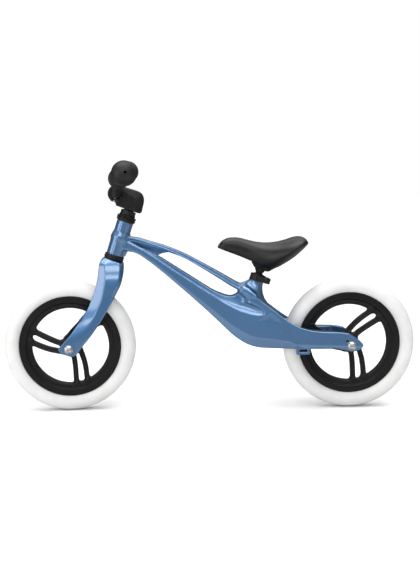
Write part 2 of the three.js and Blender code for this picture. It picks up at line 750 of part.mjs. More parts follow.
// The collar is split at the back between two lugs.
function seatCollarSolid() {
  const ring = solid(turned(rodProfile(17.5, FIT_GAP, 15)));
  const lug = solid(block(18, 23, 11).translate(18, 0, 7.7));
  const bore = solid(turned(rodProfile(SEAT_STUB_RADIUS + FIT_GAP, -5, 30)));
  const split = solid(block(40, 3, 40).translate(26, 0, 7));
  const boltHole = solid(turned(rodProfile(3.1, -30, 30), 12)
    .rotateX(Math.PI / 2).translate(CLAMP_PIVOT.x, 0, CLAMP_PIVOT.z));
  return onSeatBody(cut(joined([ring, lug]), [bore, split, boltHole]));
}

// Moves a finished solid from the clamp's own axes onto the seat tube.
function onSeatBody(body) {
  return onSeat(geometryOf(body));
}

// The clamp bolt ends in an eye for the lever's pin.
function clampBoltSolid() {
  const shank = turned(rodProfile(2.8, -16.2, 22), 12)
    .rotateX(Math.PI / 2).translate(CLAMP_PIVOT.x, 0, CLAMP_PIVOT.z);
  const nut = turned(rodProfile(6, -16.2, -12), 6)
    .rotateX(Math.PI / 2).translate(CLAMP_PIVOT.x, 0, CLAMP_PIVOT.z);
  const eye = turned(rodProfile(5, -1.9, 1.9), SMALL_ROUND)
    .translate(CLAMP_PIVOT.x, CLAMP_PIVOT.y, CLAMP_PIVOT.z);
  const flats = [-1, 1].map((side) => solid(
    block(20, 12.5, 6).translate(CLAMP_PIVOT.x, CLAMP_PIVOT.y + 1.75, CLAMP_PIVOT.z + side * 4.9),
  ));
  const pinHole = turned(rodProfile(2.3, -10, 10), 12)
    .translate(CLAMP_PIVOT.x, CLAMP_PIVOT.y, CLAMP_PIVOT.z);
  const whole = joined([solid(shank), solid(nut), solid(eye)]);
  return onSeatBody(cut(whole, [...flats, solid(pinHole)]));
}

function clampLeverSolid() {
  const cheek = turned(rodProfile(7.5, -5.8, 5.8), 20);
  const handle = block(21, 6.5, 11.6).translate(-10.5, -1.5, 0);
  const slot = turned(rodProfile(8.2, -2.3, 2.3), 20);
  const pinHole = turned(rodProfile(2.3, -20, 20), 12);
  const place = [CLAMP_PIVOT.x, CLAMP_PIVOT.y, CLAMP_PIVOT.z];
  const [cheekSolid, handleSolid, slotSolid, holeSolid] = [cheek, handle, slot, pinHole]
    .map((geometry) => solid(geometry.translate(...place)));
  return onSeatBody(cut(joined([cheekSolid, handleSolid]), [slotSolid, holeSolid]));
}

function clampPinSolid() {
  return onSeat(turned(rodProfile(2, -6.2, 6.2), 12)
    .translate(CLAMP_PIVOT.x, CLAMP_PIVOT.y, CLAMP_PIVOT.z));
}

function main() {
  const bike = new THREE.Group();
  const sets = headset();
  bike.add(named('frame', frameSolid(), BLUE_METAL));
  bike.add(...sets.frameSide);
  bike.add(...wheelSet('rear', REAR_X, REAR_MOUNT));
  bike.add(...seatSet());
  bike.add(steeringAssembly(sets.forkSide));
  return bike;
}

function seatSet() {
  return [
    named('seat_clamp_collar', seatCollarSolid(), BLACK_METAL),
    named('seat_clamp_bolt', clampBoltSolid(), BLACK_METAL),
    named('seat_clamp_pin', clampPinSolid(), STEEL),
    named('seat_clamp_lever', clampLeverSolid(), BLACK_METAL),
    named('seat_post', seatPostSolid(), BLACK_METAL),
    named('saddle_base', saddleBaseSolid(), BLACK_PLASTIC),
    named('saddle_bolt', saddleBolt(), BLACK_METAL),
    named('saddle_pad', saddlePadSolid(), RUBBER),
  ];
}

// The fork and all that turns with it, turned a little to the rider's left.
function steeringAssembly(headsetPieces) {
  const axis = new THREE.Vector3(Math.sin(STEER_LEAN), 0, Math.cos(STEER_LEAN));
  const turnedGroup = new THREE.Group();
  turnedGroup.position.copy(STEER_POINT);
  turnedGroup.quaternion.setFromAxisAngle(axis, STEER_AT_REST);
  const straight = new THREE.Group();
  straight.position.copy(STEER_POINT).negate();
  turnedGroup.add(straight);
  straight.add(
    named('fork', forkSolid(), BLUE_METAL),
    named('steerer_tube', steererSolid(), BLACK_METAL),
    ...headsetPieces,
    ...wheelSet('front', FRONT_X, FRONT_MOUNT),
    named('stem', stemSolid(), BLACK_METAL),
    ...clampBolts(),
    ...quillSet(),
    named('handlebar', handlebarSolid(), BLACK_METAL),
    named('grip_left', gripSolid(-1), RUBBER),
    named('grip_right', gripSolid(1), RUBBER),
  );
  return turnedGroup;
}

export default main();
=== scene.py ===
"""The looks of a balance bike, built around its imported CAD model. Blender 4.5.

Lengths are in millimetres in the CAD's frame (+X to the rear, -Y to the rider's left, +Z up) and
become metres when a mesh is made. The castings and other free forms are distance fields, turned
into meshes by a surface net. Round pieces are turned from profiles.
"""

import math

import bmesh
import bpy
import numpy as np
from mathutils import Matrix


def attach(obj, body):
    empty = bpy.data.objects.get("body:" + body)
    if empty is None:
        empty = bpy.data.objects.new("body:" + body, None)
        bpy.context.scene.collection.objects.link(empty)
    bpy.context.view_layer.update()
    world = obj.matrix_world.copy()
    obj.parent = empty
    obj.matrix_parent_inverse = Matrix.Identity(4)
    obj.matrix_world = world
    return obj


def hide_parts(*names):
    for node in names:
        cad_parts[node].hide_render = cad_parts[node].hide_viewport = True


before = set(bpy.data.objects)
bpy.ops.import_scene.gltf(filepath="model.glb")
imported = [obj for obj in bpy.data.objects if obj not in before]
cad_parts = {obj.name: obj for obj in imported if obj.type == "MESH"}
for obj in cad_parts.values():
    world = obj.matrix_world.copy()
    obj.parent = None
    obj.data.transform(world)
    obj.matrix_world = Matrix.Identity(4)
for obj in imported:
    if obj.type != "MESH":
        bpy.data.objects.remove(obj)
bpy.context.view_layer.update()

MM = 0.001

# ---- driving dimensions, those of the CAD model ----

WHEEL_RADIUS = 145
FRONT_X, REAR_X = -308, 308
WHEEL_CLEARANCE = 153
GAP = 0.3

# A leaning tube: how far its axis leans back, and a point on it.
STEER_LEAN = math.radians(19)
STEER_POINT = np.array([-192.0, 0, 382])
STEERING = (STEER_LEAN, STEER_POINT)
STEER_AT_REST = math.radians(4.5)
SEAT_TUBE = (math.radians(17), np.array([106.0, 0, 283]))

FRONT_MOUNT = {"hub": 32, "inner": 39, "outer": 50}
REAR_MOUNT = {"hub": 36, "inner": 44, "outer": 56}
AXLE_RADIUS = 5
HUB_RADIUS = 17

HEAD_BORE = 15.2
STEERER_RADIUS = 12.7
QUILL_RADIUS = 11
BAR_RADIUS = 11.1
BAR_CENTRE = np.array([-196.4, 0, 478.5])
GRIP_START = np.array([-189.6, 87.1, 511.3])
BALL_CENTRE = np.array([-175.7, 193.2, 523.1])
BALL_RADIUS = 25.5
GRIP_LENGTH = float(np.linalg.norm(BALL_CENTRE - GRIP_START))
GRIP_WAY = (BALL_CENTRE - GRIP_START) / GRIP_LENGTH
SEAT_POST_RADIUS = 11.1
SEAT_STUB_RADIUS = 14.5
SADDLE_PIVOT = np.array([113.5, 0, 309])
CLAMP_PIVOT = np.array([20.0, -21, 7.7])

# Steps of the surface nets.
FINE = 0.55
MEDIUM = 0.9
COARSE = 1.6
CAST = 1.2
ROUND_SIDES = 64
WHEEL_SIDES = 192

# ---- fields: negative inside a solid ----


def smooth_min(a, b, k):
    h = np.clip(0.5 + 0.5 * (b - a) / k, 0, 1)
    return b + (a - b) * h - k * h * (1 - h)


def smooth_max(a, b, k):
    return -smooth_min(-a, -b, k)


def curve(points, closed=False, steps=8):
    """Points along a smooth Catmull-Rom run through the given points."""
    p = np.array(points, float)
    if closed:
        p = np.vstack([p[-1], p, p[0], p[1]])
    else:
        p = np.vstack([2 * p[0] - p[1], p, 2 * p[-1] - p[-2]])
    t = np.linspace(0, 1, steps, endpoint=False)[:, None]
    runs = []
    for a, b, c, d in zip(p, p[1:], p[2:], p[3:]):
        runs.append(0.5 * (2 * b + (c - a) * t + (2 * a - 5 * b + 4 * c - d) * t**2
                           + (3 * b - a - 3 * c + d) * t**3))
    if not closed:
        runs.append(p[-2][None])
    return np.vstack(runs)


def along(pairs):
    """A smooth function of one variable through the given (value, result) pairs."""
    dense = curve(pairs, steps=12)
    return lambda v: np.interp(v, dense[:, 0], dense[:, 1])


class Outline:
    """Signed distance to a closed outline, kept on a fine grid. Negative inside."""

    MARGIN = 45
    PITCH = 1.0

    def __init__(self, points):
        p = np.array(points, float)
        self.low = p.min(0) - self.MARGIN
        self.size = np.ceil((p.max(0) + self.MARGIN - self.low) / self.PITCH).astype(int) + 1
        u = self.low[0] + self.PITCH * np.arange(self.size[0])[:, None]
        v = self.low[1] + self.PITCH * np.arange(self.size[1])[None, :]
        best = np.full(self.size, np.inf)
        inside = np.zeros(self.size, bool)
        for (au, av), (bu, bv) in zip(p, np.roll(p, -1, 0)):
            eu, ev = bu - au, bv - av
            t = np.clip(((u - au) * eu + (v - av) * ev) / max(eu * eu + ev * ev, 1e-9), 0, 1)
            best = np.minimum(best, (u - au - t * eu) ** 2 + (v - av - t * ev) ** 2)
            if av != bv:
                inside ^= ((av > v) != (bv > v)) & (u < au + (v - av) * eu / ev)
        self.grid = np.sqrt(best) * np.where(inside, -1, 1)

    def __call__(self, u, v):
        fu = np.clip((u - self.low[0]) / self.PITCH, 0, self.size[0] - 1.001)
        fv = np.clip((v - self.low[1]) / self.PITCH, 0, self.size[1] - 1.001)
        iu, iv = fu.astype(int), fv.astype(int)
        du, dv = fu - iu, fv - iv
        g = self.grid
        return ((g[iu, iv] * (1 - du) + g[iu + 1, iv] * du) * (1 - dv)
                + (g[iu, iv + 1] * (1 - du) + g[iu + 1, iv + 1] * du) * dv)


def own_axes(lean, origin, x, z):
    """(across, up) of a point in the axes of a tube that leans back."""
    dx, dz = x - origin[0], z - origin[2]
    return dx * math.cos(lean) - dz * math.sin(lean), dx * math.sin(lean) + dz * math.cos(lean)


def tube(lean, origin, x, y, z, radius, low, high, ease=0.6):
    """A round bar along a leaning axis. radius is a number or a function of the height."""
    u, s = own_axes(lean, origin, x, z)
    r = radius(s) if callable(radius) else radius
    ends = np.maximum(low - s, s - high)
    return smooth_max(np.sqrt(u * u + y * y) - r, ends, ease)


def from_axis(x, z, point):
    """Distance from a line that runs across the bike through a point."""
    return np.hypot(x - point[0], z - point[-1])


def bevelled(edge, face, width, depth):
    """The plane that cuts the edge between edge = 0 and face = 0."""
    return (face * width + (edge + width) * depth) / np.sqrt(width * width + depth * depth)


def block(u, v, w, centre, half, ease):
    """A box with rounded edges."""
    q = [np.abs(a - c) - h for a, c, h in zip((u, v, w), centre, half)]
    return smooth_max(smooth_max(q[0], q[1], ease), q[2], ease)


# ---- meshes ----


def surface_net(values, low, step):
    """Vertices and outward quads of the surface where a sampled field passes zero."""
    inside = values < 0
    cells = np.array(values.shape) - 1
    ids, places, quads = [], [], []
    for axis in range(3):
        one, two = (axis + 1) % 3, (axis + 2) % 3
        first = np.moveaxis(inside, axis, 0)[:-1]
        second = np.moveaxis(inside, axis, 0)[1:]
        at = np.argwhere(np.moveaxis(first != second, 0, axis))
        at = at[np.all(at[:, [one, two]] > 0, axis=1)]
        at = at[np.all(at[:, [one, two]] < cells[[one, two]], axis=1)]
        after = at.copy()
        after[:, axis] += 1
        a = values[tuple(at.T)]
        b = values[tuple(after.T)]
        place = at.astype(float)
        place[:, axis] += a / (a - b)
        corners = []
        for d_one, d_two in ((0, 0), (-1, 0), (-1, -1), (0, -1)):
            cell = at.copy()
            cell[:, one] += d_one
            cell[:, two] += d_two
            number = np.ravel_multi_index(tuple(cell.T), tuple(cells))
            corners.append(number)
            ids.append(number)
            places.append(place)
        quad = np.stack(corners, 1)
        quads.append(np.where((a < 0)[:, None], quad, quad[:, ::-1]))
    ids, places, quads = np.concatenate(ids), np.concatenate(places), np.concatenate(quads)
    used, number = np.unique(ids, return_inverse=True)
    count = np.bincount(number)
    vertices = np.stack([np.bincount(number, places[:, k]) / count for k in range(3)], 1)
    return np.array(low) + vertices * step, np.searchsorted(used, quads)


def settled(field, points, step, rounds=2):
    """Moves points onto the field's surface."""
    p = points.copy()
    reach = 0.25 * step
    for _ in range(rounds):
        value = field(*p.T)
        slope = np.zeros_like(p)
        for k in range(3):
            ahead, behind = p.copy(), p.copy()
            ahead[:, k] += reach
            behind[:, k] -= reach
            slope[:, k] = (field(*ahead.T) - field(*behind.T)) / (2 * reach)
        steep = np.maximum((slope**2).sum(1), 0.04)
        move = -slope * (value / steep)[:, None]
        far = np.linalg.norm(move, axis=1)
        move *= np.minimum(1, 0.5 * step / np.maximum(far, 1e-9))[:, None]
        p += move
    return p


def relaxed(vertices, quads):
    """Moves each vertex halfway to the middle of its neighbours."""
    total, count = np.zeros_like(vertices), np.zeros(len(vertices))
    for one, other in zip(quads.T, np.roll(quads.T, -1, 0)):
        count += np.bincount(one, minlength=len(vertices))
        for k in range(3):
            total[:, k] += np.bincount(one, vertices[other, k], len(vertices))
    return 0.5 * (vertices + total / count[:, None])


def carved(field, low, high, step):
    """The mesh of a field between two corners."""
    low = np.array(low, float) - 2.5 * step
    high = np.array(high, float) + 2.5 * step
    count = np.ceil((high - low) / step).astype(int) + 1
    x, y, z = (low[k] + step * np.arange(count[k]) for k in range(3))
    values = field(x[:, None, None], y[None, :, None], z[None, None, :])
    vertices, quads = surface_net(np.broadcast_to(values, tuple(count)), low, step)
    evened = relaxed(settled(field, vertices, step, 1), quads)
    return settled(field, evened, step), quads


def eased(profile, ease, steps=3):
    """A profile with its corners rounded off. Points on the axis stay sharp."""
    p = np.array(profile, float)
    closed = np.allclose(p[0], p[-1])
    if closed:
        p = p[:-1]
    rounded = []
    for i, corner in enumerate(p):
        if not closed and i in (0, len(p) - 1):
            rounded.append(corner[None])
            continue
        before, after = p[i - 1] - corner, p[(i + 1) % len(p)] - corner
        reach_b, reach_a = np.linalg.norm(before), np.linalg.norm(after)
        cut = min(ease, 0.45 * reach_b, 0.45 * reach_a)
        start, end = corner + before * cut / reach_b, corner + after * cut / reach_a
        t = np.linspace(0, 1, steps + 1)[:, None]
        rounded.append((1 - t) ** 2 * start + 2 * t * (1 - t) * corner + t**2 * end)
    p = np.vstack(rounded)
    return np.vstack([p, p[:1]]) if closed else p


def turned(profile, sides=ROUND_SIDES, ease=0.5):
    """A piece turned about Z from [radius, height] pairs, closed or ending on the axis."""
    p = eased(profile, ease) if ease else np.array(profile, float)
    closed = np.allclose(p[0], p[-1])
    if closed:
        p = p[:-1]
    angle = np.linspace(0, 2 * math.pi, sides, endpoint=False)
    rings = np.stack([np.outer(p[:, 0], np.cos(angle)), np.outer(p[:, 0], np.sin(angle)),
                      np.repeat(p[:, 1:], sides, 1)], 2).reshape(-1, 3)
    i = np.arange(sides)
    faces = []
    for ring in range(len(p) if closed else len(p) - 1):
        a, b = ring * sides, (ring + 1) % len(p) * sides
        faces.append(np.stack([a + i, a + (i + 1) % sides, b + (i + 1) % sides, b + i], 1))
    return rings, np.vstack(faces)


def swept(path, radius, sides=32):
    """A round bar along a path, closed at both ends."""
    p = np.array(path, float)
    ahead = np.gradient(p, axis=0)
    ahead /= np.linalg.norm(ahead, axis=1)[:, None]
    out = np.cross(ahead[0], (1, 0, 0))
    angle = np.linspace(0, 2 * math.pi, sides, endpoint=False)[:, None]
    rings = []
    for point, way in zip(p, ahead):
        out -= way * (out @ way)
        out /= np.linalg.norm(out)
        rings.append(point + radius * (np.cos(angle) * out + np.sin(angle) * np.cross(way, out)))
    i = np.arange(sides)
    faces = [np.stack([r * sides + i, r * sides + (i + 1) % sides, (r + 1) * sides + (i + 1) % sides,
                       (r + 1) * sides + i], 1) for r in range(len(p) - 1)]
    whole = np.vstack(faces).tolist()
    whole.append(i[::-1].tolist())
    whole.append((i + (len(p) - 1) * sides).tolist())
    return np.vstack(rings), whole


def rotation(axis, angle):
    """The matrix of a turn about an axis."""
    a = np.array(axis, float)
    a /= np.linalg.norm(a)
    k = np.array([[0, -a[2], a[1]], [a[2], 0, -a[0]], [-a[1], a[0], 0]])
    return np.eye(3) + math.sin(angle) * k + (1 - math.cos(angle)) * (k @ k)


STEER_AXIS = np.array([math.sin(STEER_LEAN), 0, math.cos(STEER_LEAN)])


def steered(mesh):
    """Turns a piece of the steering from straight ahead to how it rests."""
    vertices, faces = mesh
    return STEER_POINT + (vertices - STEER_POINT) @ rotation(STEER_AXIS, STEER_AT_REST).T, faces


def leaned(mesh, lean, origin):
    """Places a piece made about Z on a leaning axis."""
    vertices, faces = mesh
    return vertices @ rotation((0, 1, 0), lean).T + origin, faces


def on_steering(mesh):
    return steered(leaned(mesh, *STEERING))


def on_seat(mesh):
    return leaned(mesh, *SEAT_TUBE)


def across(mesh, x, z):
    """Places a piece made about Z across the bike, its Z pointing to the rider's left (-Y)."""
    vertices, faces = mesh
    return vertices @ rotation((1, 0, 0), math.pi / 2).T + (x, 0, z), faces


def joined(*meshes):
    vertices, faces, count = [], [], 0
    for v, f in meshes:
        vertices.append(v)
        faces.append(f + count)
        count += len(v)
    return np.vstack(vertices), np.vstack(faces)


def piece(name, mesh, material, body, slot, *nodes, crease=38):
    """A finished piece: in metres, smooth but for its creases, riding on a body."""
    vertices, faces = mesh
    faces = faces.tolist() if isinstance(faces, np.ndarray) else faces
    data = bpy.data.meshes.new(name)
    data.from_pydata((np.asarray(vertices) * MM).tolist(), [], faces)
    data.validate()
    outward(data)
    data.shade_smooth()
    data.set_sharp_from_angle(angle=math.radians(crease))
    data.materials.append(material)
    made = bpy.data.objects.new(name, data)
    bpy.context.scene.collection.objects.link(made)
    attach(made, body)
    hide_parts(*nodes)
    return made


def outward(data):
    """Welds doubled vertices and turns the faces outwards."""
    work = bmesh.new()
    work.from_mesh(data)
    bmesh.ops.remove_doubles(work, verts=work.verts, dist=1e-6)
    bmesh.ops.recalc_face_normals(work, faces=work.faces)
    work.to_mesh(data)
    work.free()


# ---- materials ----


def material(name, base, roughness, metallic=0.0, **sockets):
    """A Principled material. Returns it with its node tree and shader, for detail to be added."""
    made = bpy.data.materials.new(name)
    made.use_nodes = True
    shader = made.node_tree.nodes["Principled BSDF"]
    shader.inputs["Base Color"].default_value = (*base, 1)
    shader.inputs["Roughness"].default_value = roughness
    shader.inputs["Metallic"].default_value = metallic
    for socket, value in sockets.items():
        shader.inputs[socket.replace("_", " ")].default_value = value
    return made, made.node_tree, shader


def noise(tree, scale, detail=3.0):
    """Noise in the object's own coordinates, one unit to the metre."""
    place = tree.nodes.new("ShaderNodeTexCoord")
    texture = tree.nodes.new("ShaderNodeTexNoise")
    texture.inputs["Scale"].default_value = scale
    texture.inputs["Detail"].default_value = detail
    tree.links.new(place.outputs["Object"], texture.inputs["Vector"])
    return texture.outputs["Fac"]


def shades(tree, shader, factor, socket, low, high, start=0.35, end=0.65):
    """Drives a socket between two values or colours by a factor."""
    ramp = tree.nodes.new("ShaderNodeValToRGB")
    ramp.color_ramp.elements[0].position = start
    ramp.color_ramp.elements[1].position = end
    for element, value in zip(ramp.color_ramp.elements, (low, high)):
        element.color = (*value, 1) if hasattr(value, "__len__") else (value, value, value, 1)
    tree.links.new(factor, ramp.inputs["Fac"])
    tree.links.new(ramp.outputs["Color"], shader.inputs[socket])


def bumps(tree, shader, factors, distance):
    """Bump from one or more (factor, strength) pairs."""
    normal = None
    for factor, strength in factors:
        bump = tree.nodes.new("ShaderNodeBump")
        bump.inputs["Strength"].default_value = strength
        bump.inputs["Distance"].default_value = distance
        tree.links.new(factor, bump.inputs["Height"])
        if normal is not None:
            tree.links.new(normal, bump.inputs["Normal"])
        normal = bump.outputs["Normal"]
    tree.links.new(normal, shader.inputs["Normal"])


def flakes(tree, scale):
    """The random value of each small cell, for metal flake in a lacquer."""
    place = tree.nodes.new("ShaderNodeTexCoord")
    cells = tree.nodes.new("ShaderNodeTexVoronoi")
    cells.inputs["Scale"].default_value = scale
    tree.links.new(place.outputs["Object"], cells.inputs["Vector"])
    single = tree.nodes.new("ShaderNodeSeparateColor")
    tree.links.new(cells.outputs["Color"], single.inputs["Color"])
    return single.outputs["Red"]


def cell_edges(tree, scale):
    """Distance from the edges of small cells, for the grain of a leather-like cover."""
    place = tree.nodes.new("ShaderNodeTexCoord")
    cells = tree.nodes.new("ShaderNodeTexVoronoi")
    cells.feature = "DISTANCE_TO_EDGE"
    cells.inputs["Scale"].default_value = scale
    tree.links.new(place.outputs["Object"], cells.inputs["Vector"])
    return cells.outputs["Distance"]


def blue_lacquer():
    made, tree, shader = material(
        "blue_metallic_lacquer", (0.04, 0.145, 0.315), 0.42, 0.8, Coat_Weight=1.0,
        Coat_Roughness=0.14, Coat_IOR=1.85)
    shades(tree, shader, flakes(tree, 1400), "Base Color",
           (0.037, 0.135, 0.3), (0.054, 0.172, 0.365), 0.1, 0.9)
    shades(tree, shader, noise(tree, 9), "Roughness", 0.4, 0.45)
    bumps(tree, shader, [(noise(tree, 700), 0.04)], 0.0002)
    return made


def grained(name, base, roughness, colours, roughnesses, grain, depth, cells=(), metallic=0.0,
            **sockets):
    """A material whose colour and roughness wander between two values, under a fine grain.

    colours and roughnesses are (noise settings, low, high). grain and cells are lists of
    (settings, strength) for bumps of noise and of cells, depth metres deep.
    """
    made, tree, shader = material(name, base, roughness, metallic, **sockets)
    for socket, (settings, low, high) in (("Base Color", colours), ("Roughness", roughnesses)):
        shades(tree, shader, noise(tree, *settings), socket, low, high)
    bumps(tree, shader, [(cell_edges(tree, *settings), strength) for settings, strength in cells]
          + [(noise(tree, *settings), strength) for settings, strength in grain], depth)
    return made


def grey(tone, tint=0.0):
    return (tone, tone, tone + tint)


def pale_floor():
    made, tree, shader = material("pale_floor", grey(0.93), 0.4, Specular_IOR_Level=0.2)
    shades(tree, shader, noise(tree, 3), "Base Color", grey(0.925), grey(0.94))
    return made


BLUE = blue_lacquer()
BLACK = grained("black_satin_coating", grey(0.008, 0.0005), 0.36,
                ((90,), grey(0.006, 0.0005), grey(0.011, 0.0005)), ((400,), 0.33, 0.45),
                [((1600,), 0.12)], 0.0003, Specular_IOR_Level=0.24)
PLASTIC = grained("black_moulded_plastic", grey(0.005), 0.31,
                  ((35,), grey(0.004), grey(0.0065)), ((300,), 0.3, 0.42),
                  [((2600,), 0.2)], 0.0002, Specular_IOR_Level=0.24)
FOAM = grained("white_tyre_foam", grey(0.595, -0.005), 0.62,
               ((28, 4), grey(0.57, -0.005), grey(0.62, -0.005)), ((500,), 0.56, 0.7),
               [((1800, 4), 0.25), ((240,), 0.1)], 0.0004)
RUBBER = grained("grip_rubber", grey(0.01), 0.46,
                 ((70,), grey(0.008), grey(0.013)), ((420,), 0.42, 0.54),
                 [((2200,), 0.3)], 0.0003, Specular_IOR_Level=0.26)
COVER = grained("saddle_cover", grey(0.006), 0.34,
                ((25,), grey(0.0045), grey(0.0075)), ((350,), 0.32, 0.43),
                [((1500,), 0.1)], 0.0003, cells=[((620,), 0.12)], Specular_IOR_Level=0.36)
STEEL = grained("bright_zinc_steel", (0.62, 0.61, 0.6), 0.26,
                ((260, 5), (0.5, 0.49, 0.48), (0.7, 0.69, 0.68)), ((700,), 0.2, 0.36),
                [((1500,), 0.15)], 0.0002, metallic=1.0)

# ---- frame casting ----

BODY_WIDTH = along([(-215, 15), (-120, 16), (-40, 18), (20, 22), (70, 29), (110, 38), (150, 47),
                    (200, 53.5), (250, 56), (345, 56)])
UNDERSIDE = curve([(-186, 356), (-167, 352), (-146, 342.5), (-113, 317.5), (-73, 283), (-34, 248),
                   (6, 211), (46, 172), (66, 156), (86, 145), (108, 139.5), (130, 138.5)])
STAY_TAIL = curve([(276, 138.5), (292, 135), (309, 131.5), (324, 135), (333, 145), (327, 154),
                   (315, 163)])
STAY_TOP = curve([(302, 171.5), (280, 174.5), (243, 176), (210, 181.5), (188, 190), (166, 203.5),
                  (134, 228), (101, 253), (84, 265)])
WINDOW_FLOOR = curve([(62, 256), (52, 251.5), (40, 252), (26, 257), (7, 266), (-33, 292), (-73, 318),
                      (-105, 338.5), (-128, 350), (-150, 362), (-170, 374), (-186, 384)])
BODY = Outline(np.vstack([UNDERSIDE, STAY_TAIL, STAY_TOP, [(76, 270), (67, 264)], WINDOW_FLOOR]))
ABOVE_UNDERSIDE = Outline(np.vstack([UNDERSIDE, [(300, 138.5), (360, 138.5), (360, 420), (-240, 420),
                                                 (-240, 350)]]))
# The band above the crease along the down tube opens into a scoop behind the window.
CREASE_RUN = [(-215, 392), (-171, 371), (-128, 346), (-73, 308), (-19, 272), (14, 251), (58, 221),
              (75, 213), (96, 207.5)]
RECESS = Outline(np.vstack([
    curve(CREASE_RUN + [(116, 208), (125, 215), (119, 226), (102, 239), (82, 252)]),
    [(70, 262), (40, 275), (-200, 420)]]))
ABOVE_CREASE = Outline(np.vstack([curve(CREASE_RUN + [(118, 203), (150, 198), (180, 194)]),
                                  [(180, 300), (180, 460), (-215, 460)]]))
FAINT_SCOOP = Outline(curve([(108, 196), (130, 192), (150, 190), (156, 196), (146, 207), (132, 216)],
                            closed=True))
# Between the near and far ridges that run back from the top tube lies a valley.
RIDGE = 7
VALLEY = Outline(np.vstack([curve([(96, 262), (112, 246), (128, 231), (148, 211), (168, 190)]),
                            [(200, 190), (260, 300), (110, 300)]]))
TUBE_CREST = [(-184, 386), (-168, 384), (-150, 381), (-132, 375.5), (-92, 363), (-52, 346), (-13, 325),
              (27, 302), (54, 285.5), (72, 276), (88, 268)]
TOP_TUBE = Outline(np.vstack([
    curve(TUBE_CREST),
    curve([(100, 256), (84, 259), (68, 264), (47, 275), (27, 288), (-13, 313), (-52, 336),
           (-92, 351.5), (-132, 366), (-184, 377)])]))
BELOW_TUBE_TOP = Outline(np.vstack([curve(TUBE_CREST + [(101, 257)]),
                                    [(160, 220), (160, 100), (-240, 100), (-240, 386)]]))
TUBE_WIDTH = along([(-215, 13), (-140, 11.5), (-60, 12), (0, 14), (40, 19), (70, 26), (90, 32),
                    (110, 37)])
HEAD_WEB = Outline([(-190, 366), (-190, 380), (-132, 371), (-80, 356), (-70, 348.5), (-86, 349.5),
                    (-101, 347), (-110, 342.5), (-114, 337), (-130, 340)])
HEAD_FIN = Outline(curve([(-168, 352), (-176, 352), (-182, 342), (-186, 341), (-192, 352), (-184, 366),
                          (-172, 362)], closed=True))
STUB_FOOT, STUB_TOP = -48, 13.5
STUB_AHEAD = along([(-48, 16), (-32, 20), (-24, 29), (-18, 33), (-12, 28.5), (-8, 25), (-4, 20.5),
                    (0, 17), (4, 15), (8, 14.5), (20, 14.5)])
STUB_BEHIND = along([(-48, 46), (-40, 36), (-30, 26.5), (-20, 20), (-10, 16.3), (0, 14.8), (6, 14.5),
                     (20, 14.5)])
STUB_HALF = along([(-48, 34), (-36, 29), (-24, 22.5), (-14, 18), (-6, 15.4), (2, 14.5), (20, 14.5)])
LUG = Outline([(188, 152), (188, 128), (190, 126), (216, 126), (218, 128), (218, 152)])
LUG_SLOT = Outline([(195, 132), (195, 137.5), (212.5, 137.5), (212.5, 132)])
LUG_MIDDLE, LUG_HALF = 48, 4.5
HEAD_PROFILE = along([(-60, 18.8), (-39, 18.8), (-14, 19.3), (-5, 20.2), (-3, 20.9), (3, 20.8),
                      (12, 18.6), (17, 18), (30, 18), (60, 18)])
HEAD_ENDS = (-39.1, 37.5)
BEVEL_WIDTH = along([(-215, 3), (-85, 5), (-19, 8), (36, 13), (80, 20), (130, 21), (175, 15), (200, 9),
                     (345, 4)])
TAB_HOLE, TAB_HOLE_RADIUS = (298.6, 155.5), 3.3


def wheel_room(x, y, z, centre, sign, mount):
    """The room that a wheel turns in, negative inside it."""
    wide = along([(-WHEEL_CLEARANCE - 20, 26), (-WHEEL_CLEARANCE, 27), (-110, 28.5), (-60, 30),
                  (-40, 34), (-25, mount["inner"]), (10, mount["inner"]), (80, mount["inner"])])
    round_room = from_axis(x, z, (centre, WHEEL_RADIUS)) - WHEEL_CLEARANCE
    return smooth_max(np.abs(y) - wide(sign * (x - centre)), round_room, 3)


def beam_field(x, y, z):
    """The down tube, the body and the stays."""
    side = np.abs(y)
    edge = BODY(x, z)
    face = side - BODY_WIDTH(x)
    soft = np.interp(x, [-200, -110, -60, 40, 110], [1.5, 2, 3.5, 4, 2])
    whole = smooth_max(edge, face, soft)
    width = BEVEL_WIDTH(x)
    whole = smooth_max(whole, bevelled(ABOVE_UNDERSIDE(x, z), face, width, 0.42 * width), 0.8)
    # Along the down tube the recess is a step; it becomes a hollow that slopes in upwards.
    inside = np.maximum(0, -ABOVE_CREASE(x, z))
    step = np.interp(x, [-200, -120, -20, 80], [2.5, 4, 4.5, 0.5])
    slope = np.interp(x, [-200, -60, 0, 80], [0.12, 0.15, 0.2, 0.42])
    deepest = np.interp(x, [-200, -120, -40, 20, 90, 112, 128], [4, 6, 8, 11, 9.5, 7, 2])
    floor = smooth_min(deepest, step + slope * inside, 5)
    lip = np.interp(x, [20, 70], [0.9, 1.4])
    soft_wall = np.interp(x, [20, 70], [2, 15])
    whole = smooth_max(whole, -smooth_max(RECESS(x, z), BODY_WIDTH(x) - floor - side, soft_wall), lip)
    faint = FAINT_SCOOP(x, z)
    shallow = np.minimum(1.1, np.maximum(0, -faint) * 0.13)
    return smooth_max(whole, -smooth_max(faint, BODY_WIDTH(x) - shallow - side, 3), 1.5)


def tube_field(x, y, z):
    """The top tube: its side swells to a crease low down, then falls in again."""
    side = np.abs(y)
    edge = TOP_TUBE(x, z)
    down = -BELOW_TUBE_TOP(x, z)
    crease = np.interp(x, [-170, -86, -40, 15, 60], [3.2, 7.0, 8.2, 8.6, 8.6])
    above = 0.15 * np.maximum(0, crease - down)
    below = 0.9 * np.maximum(0, down - crease - 0.5)
    bead = 0.7 * np.exp(-(((down - crease) / 0.8) ** 2))
    return smooth_max(edge, side - TUBE_WIDTH(x) + above + below - bead, 1.0)


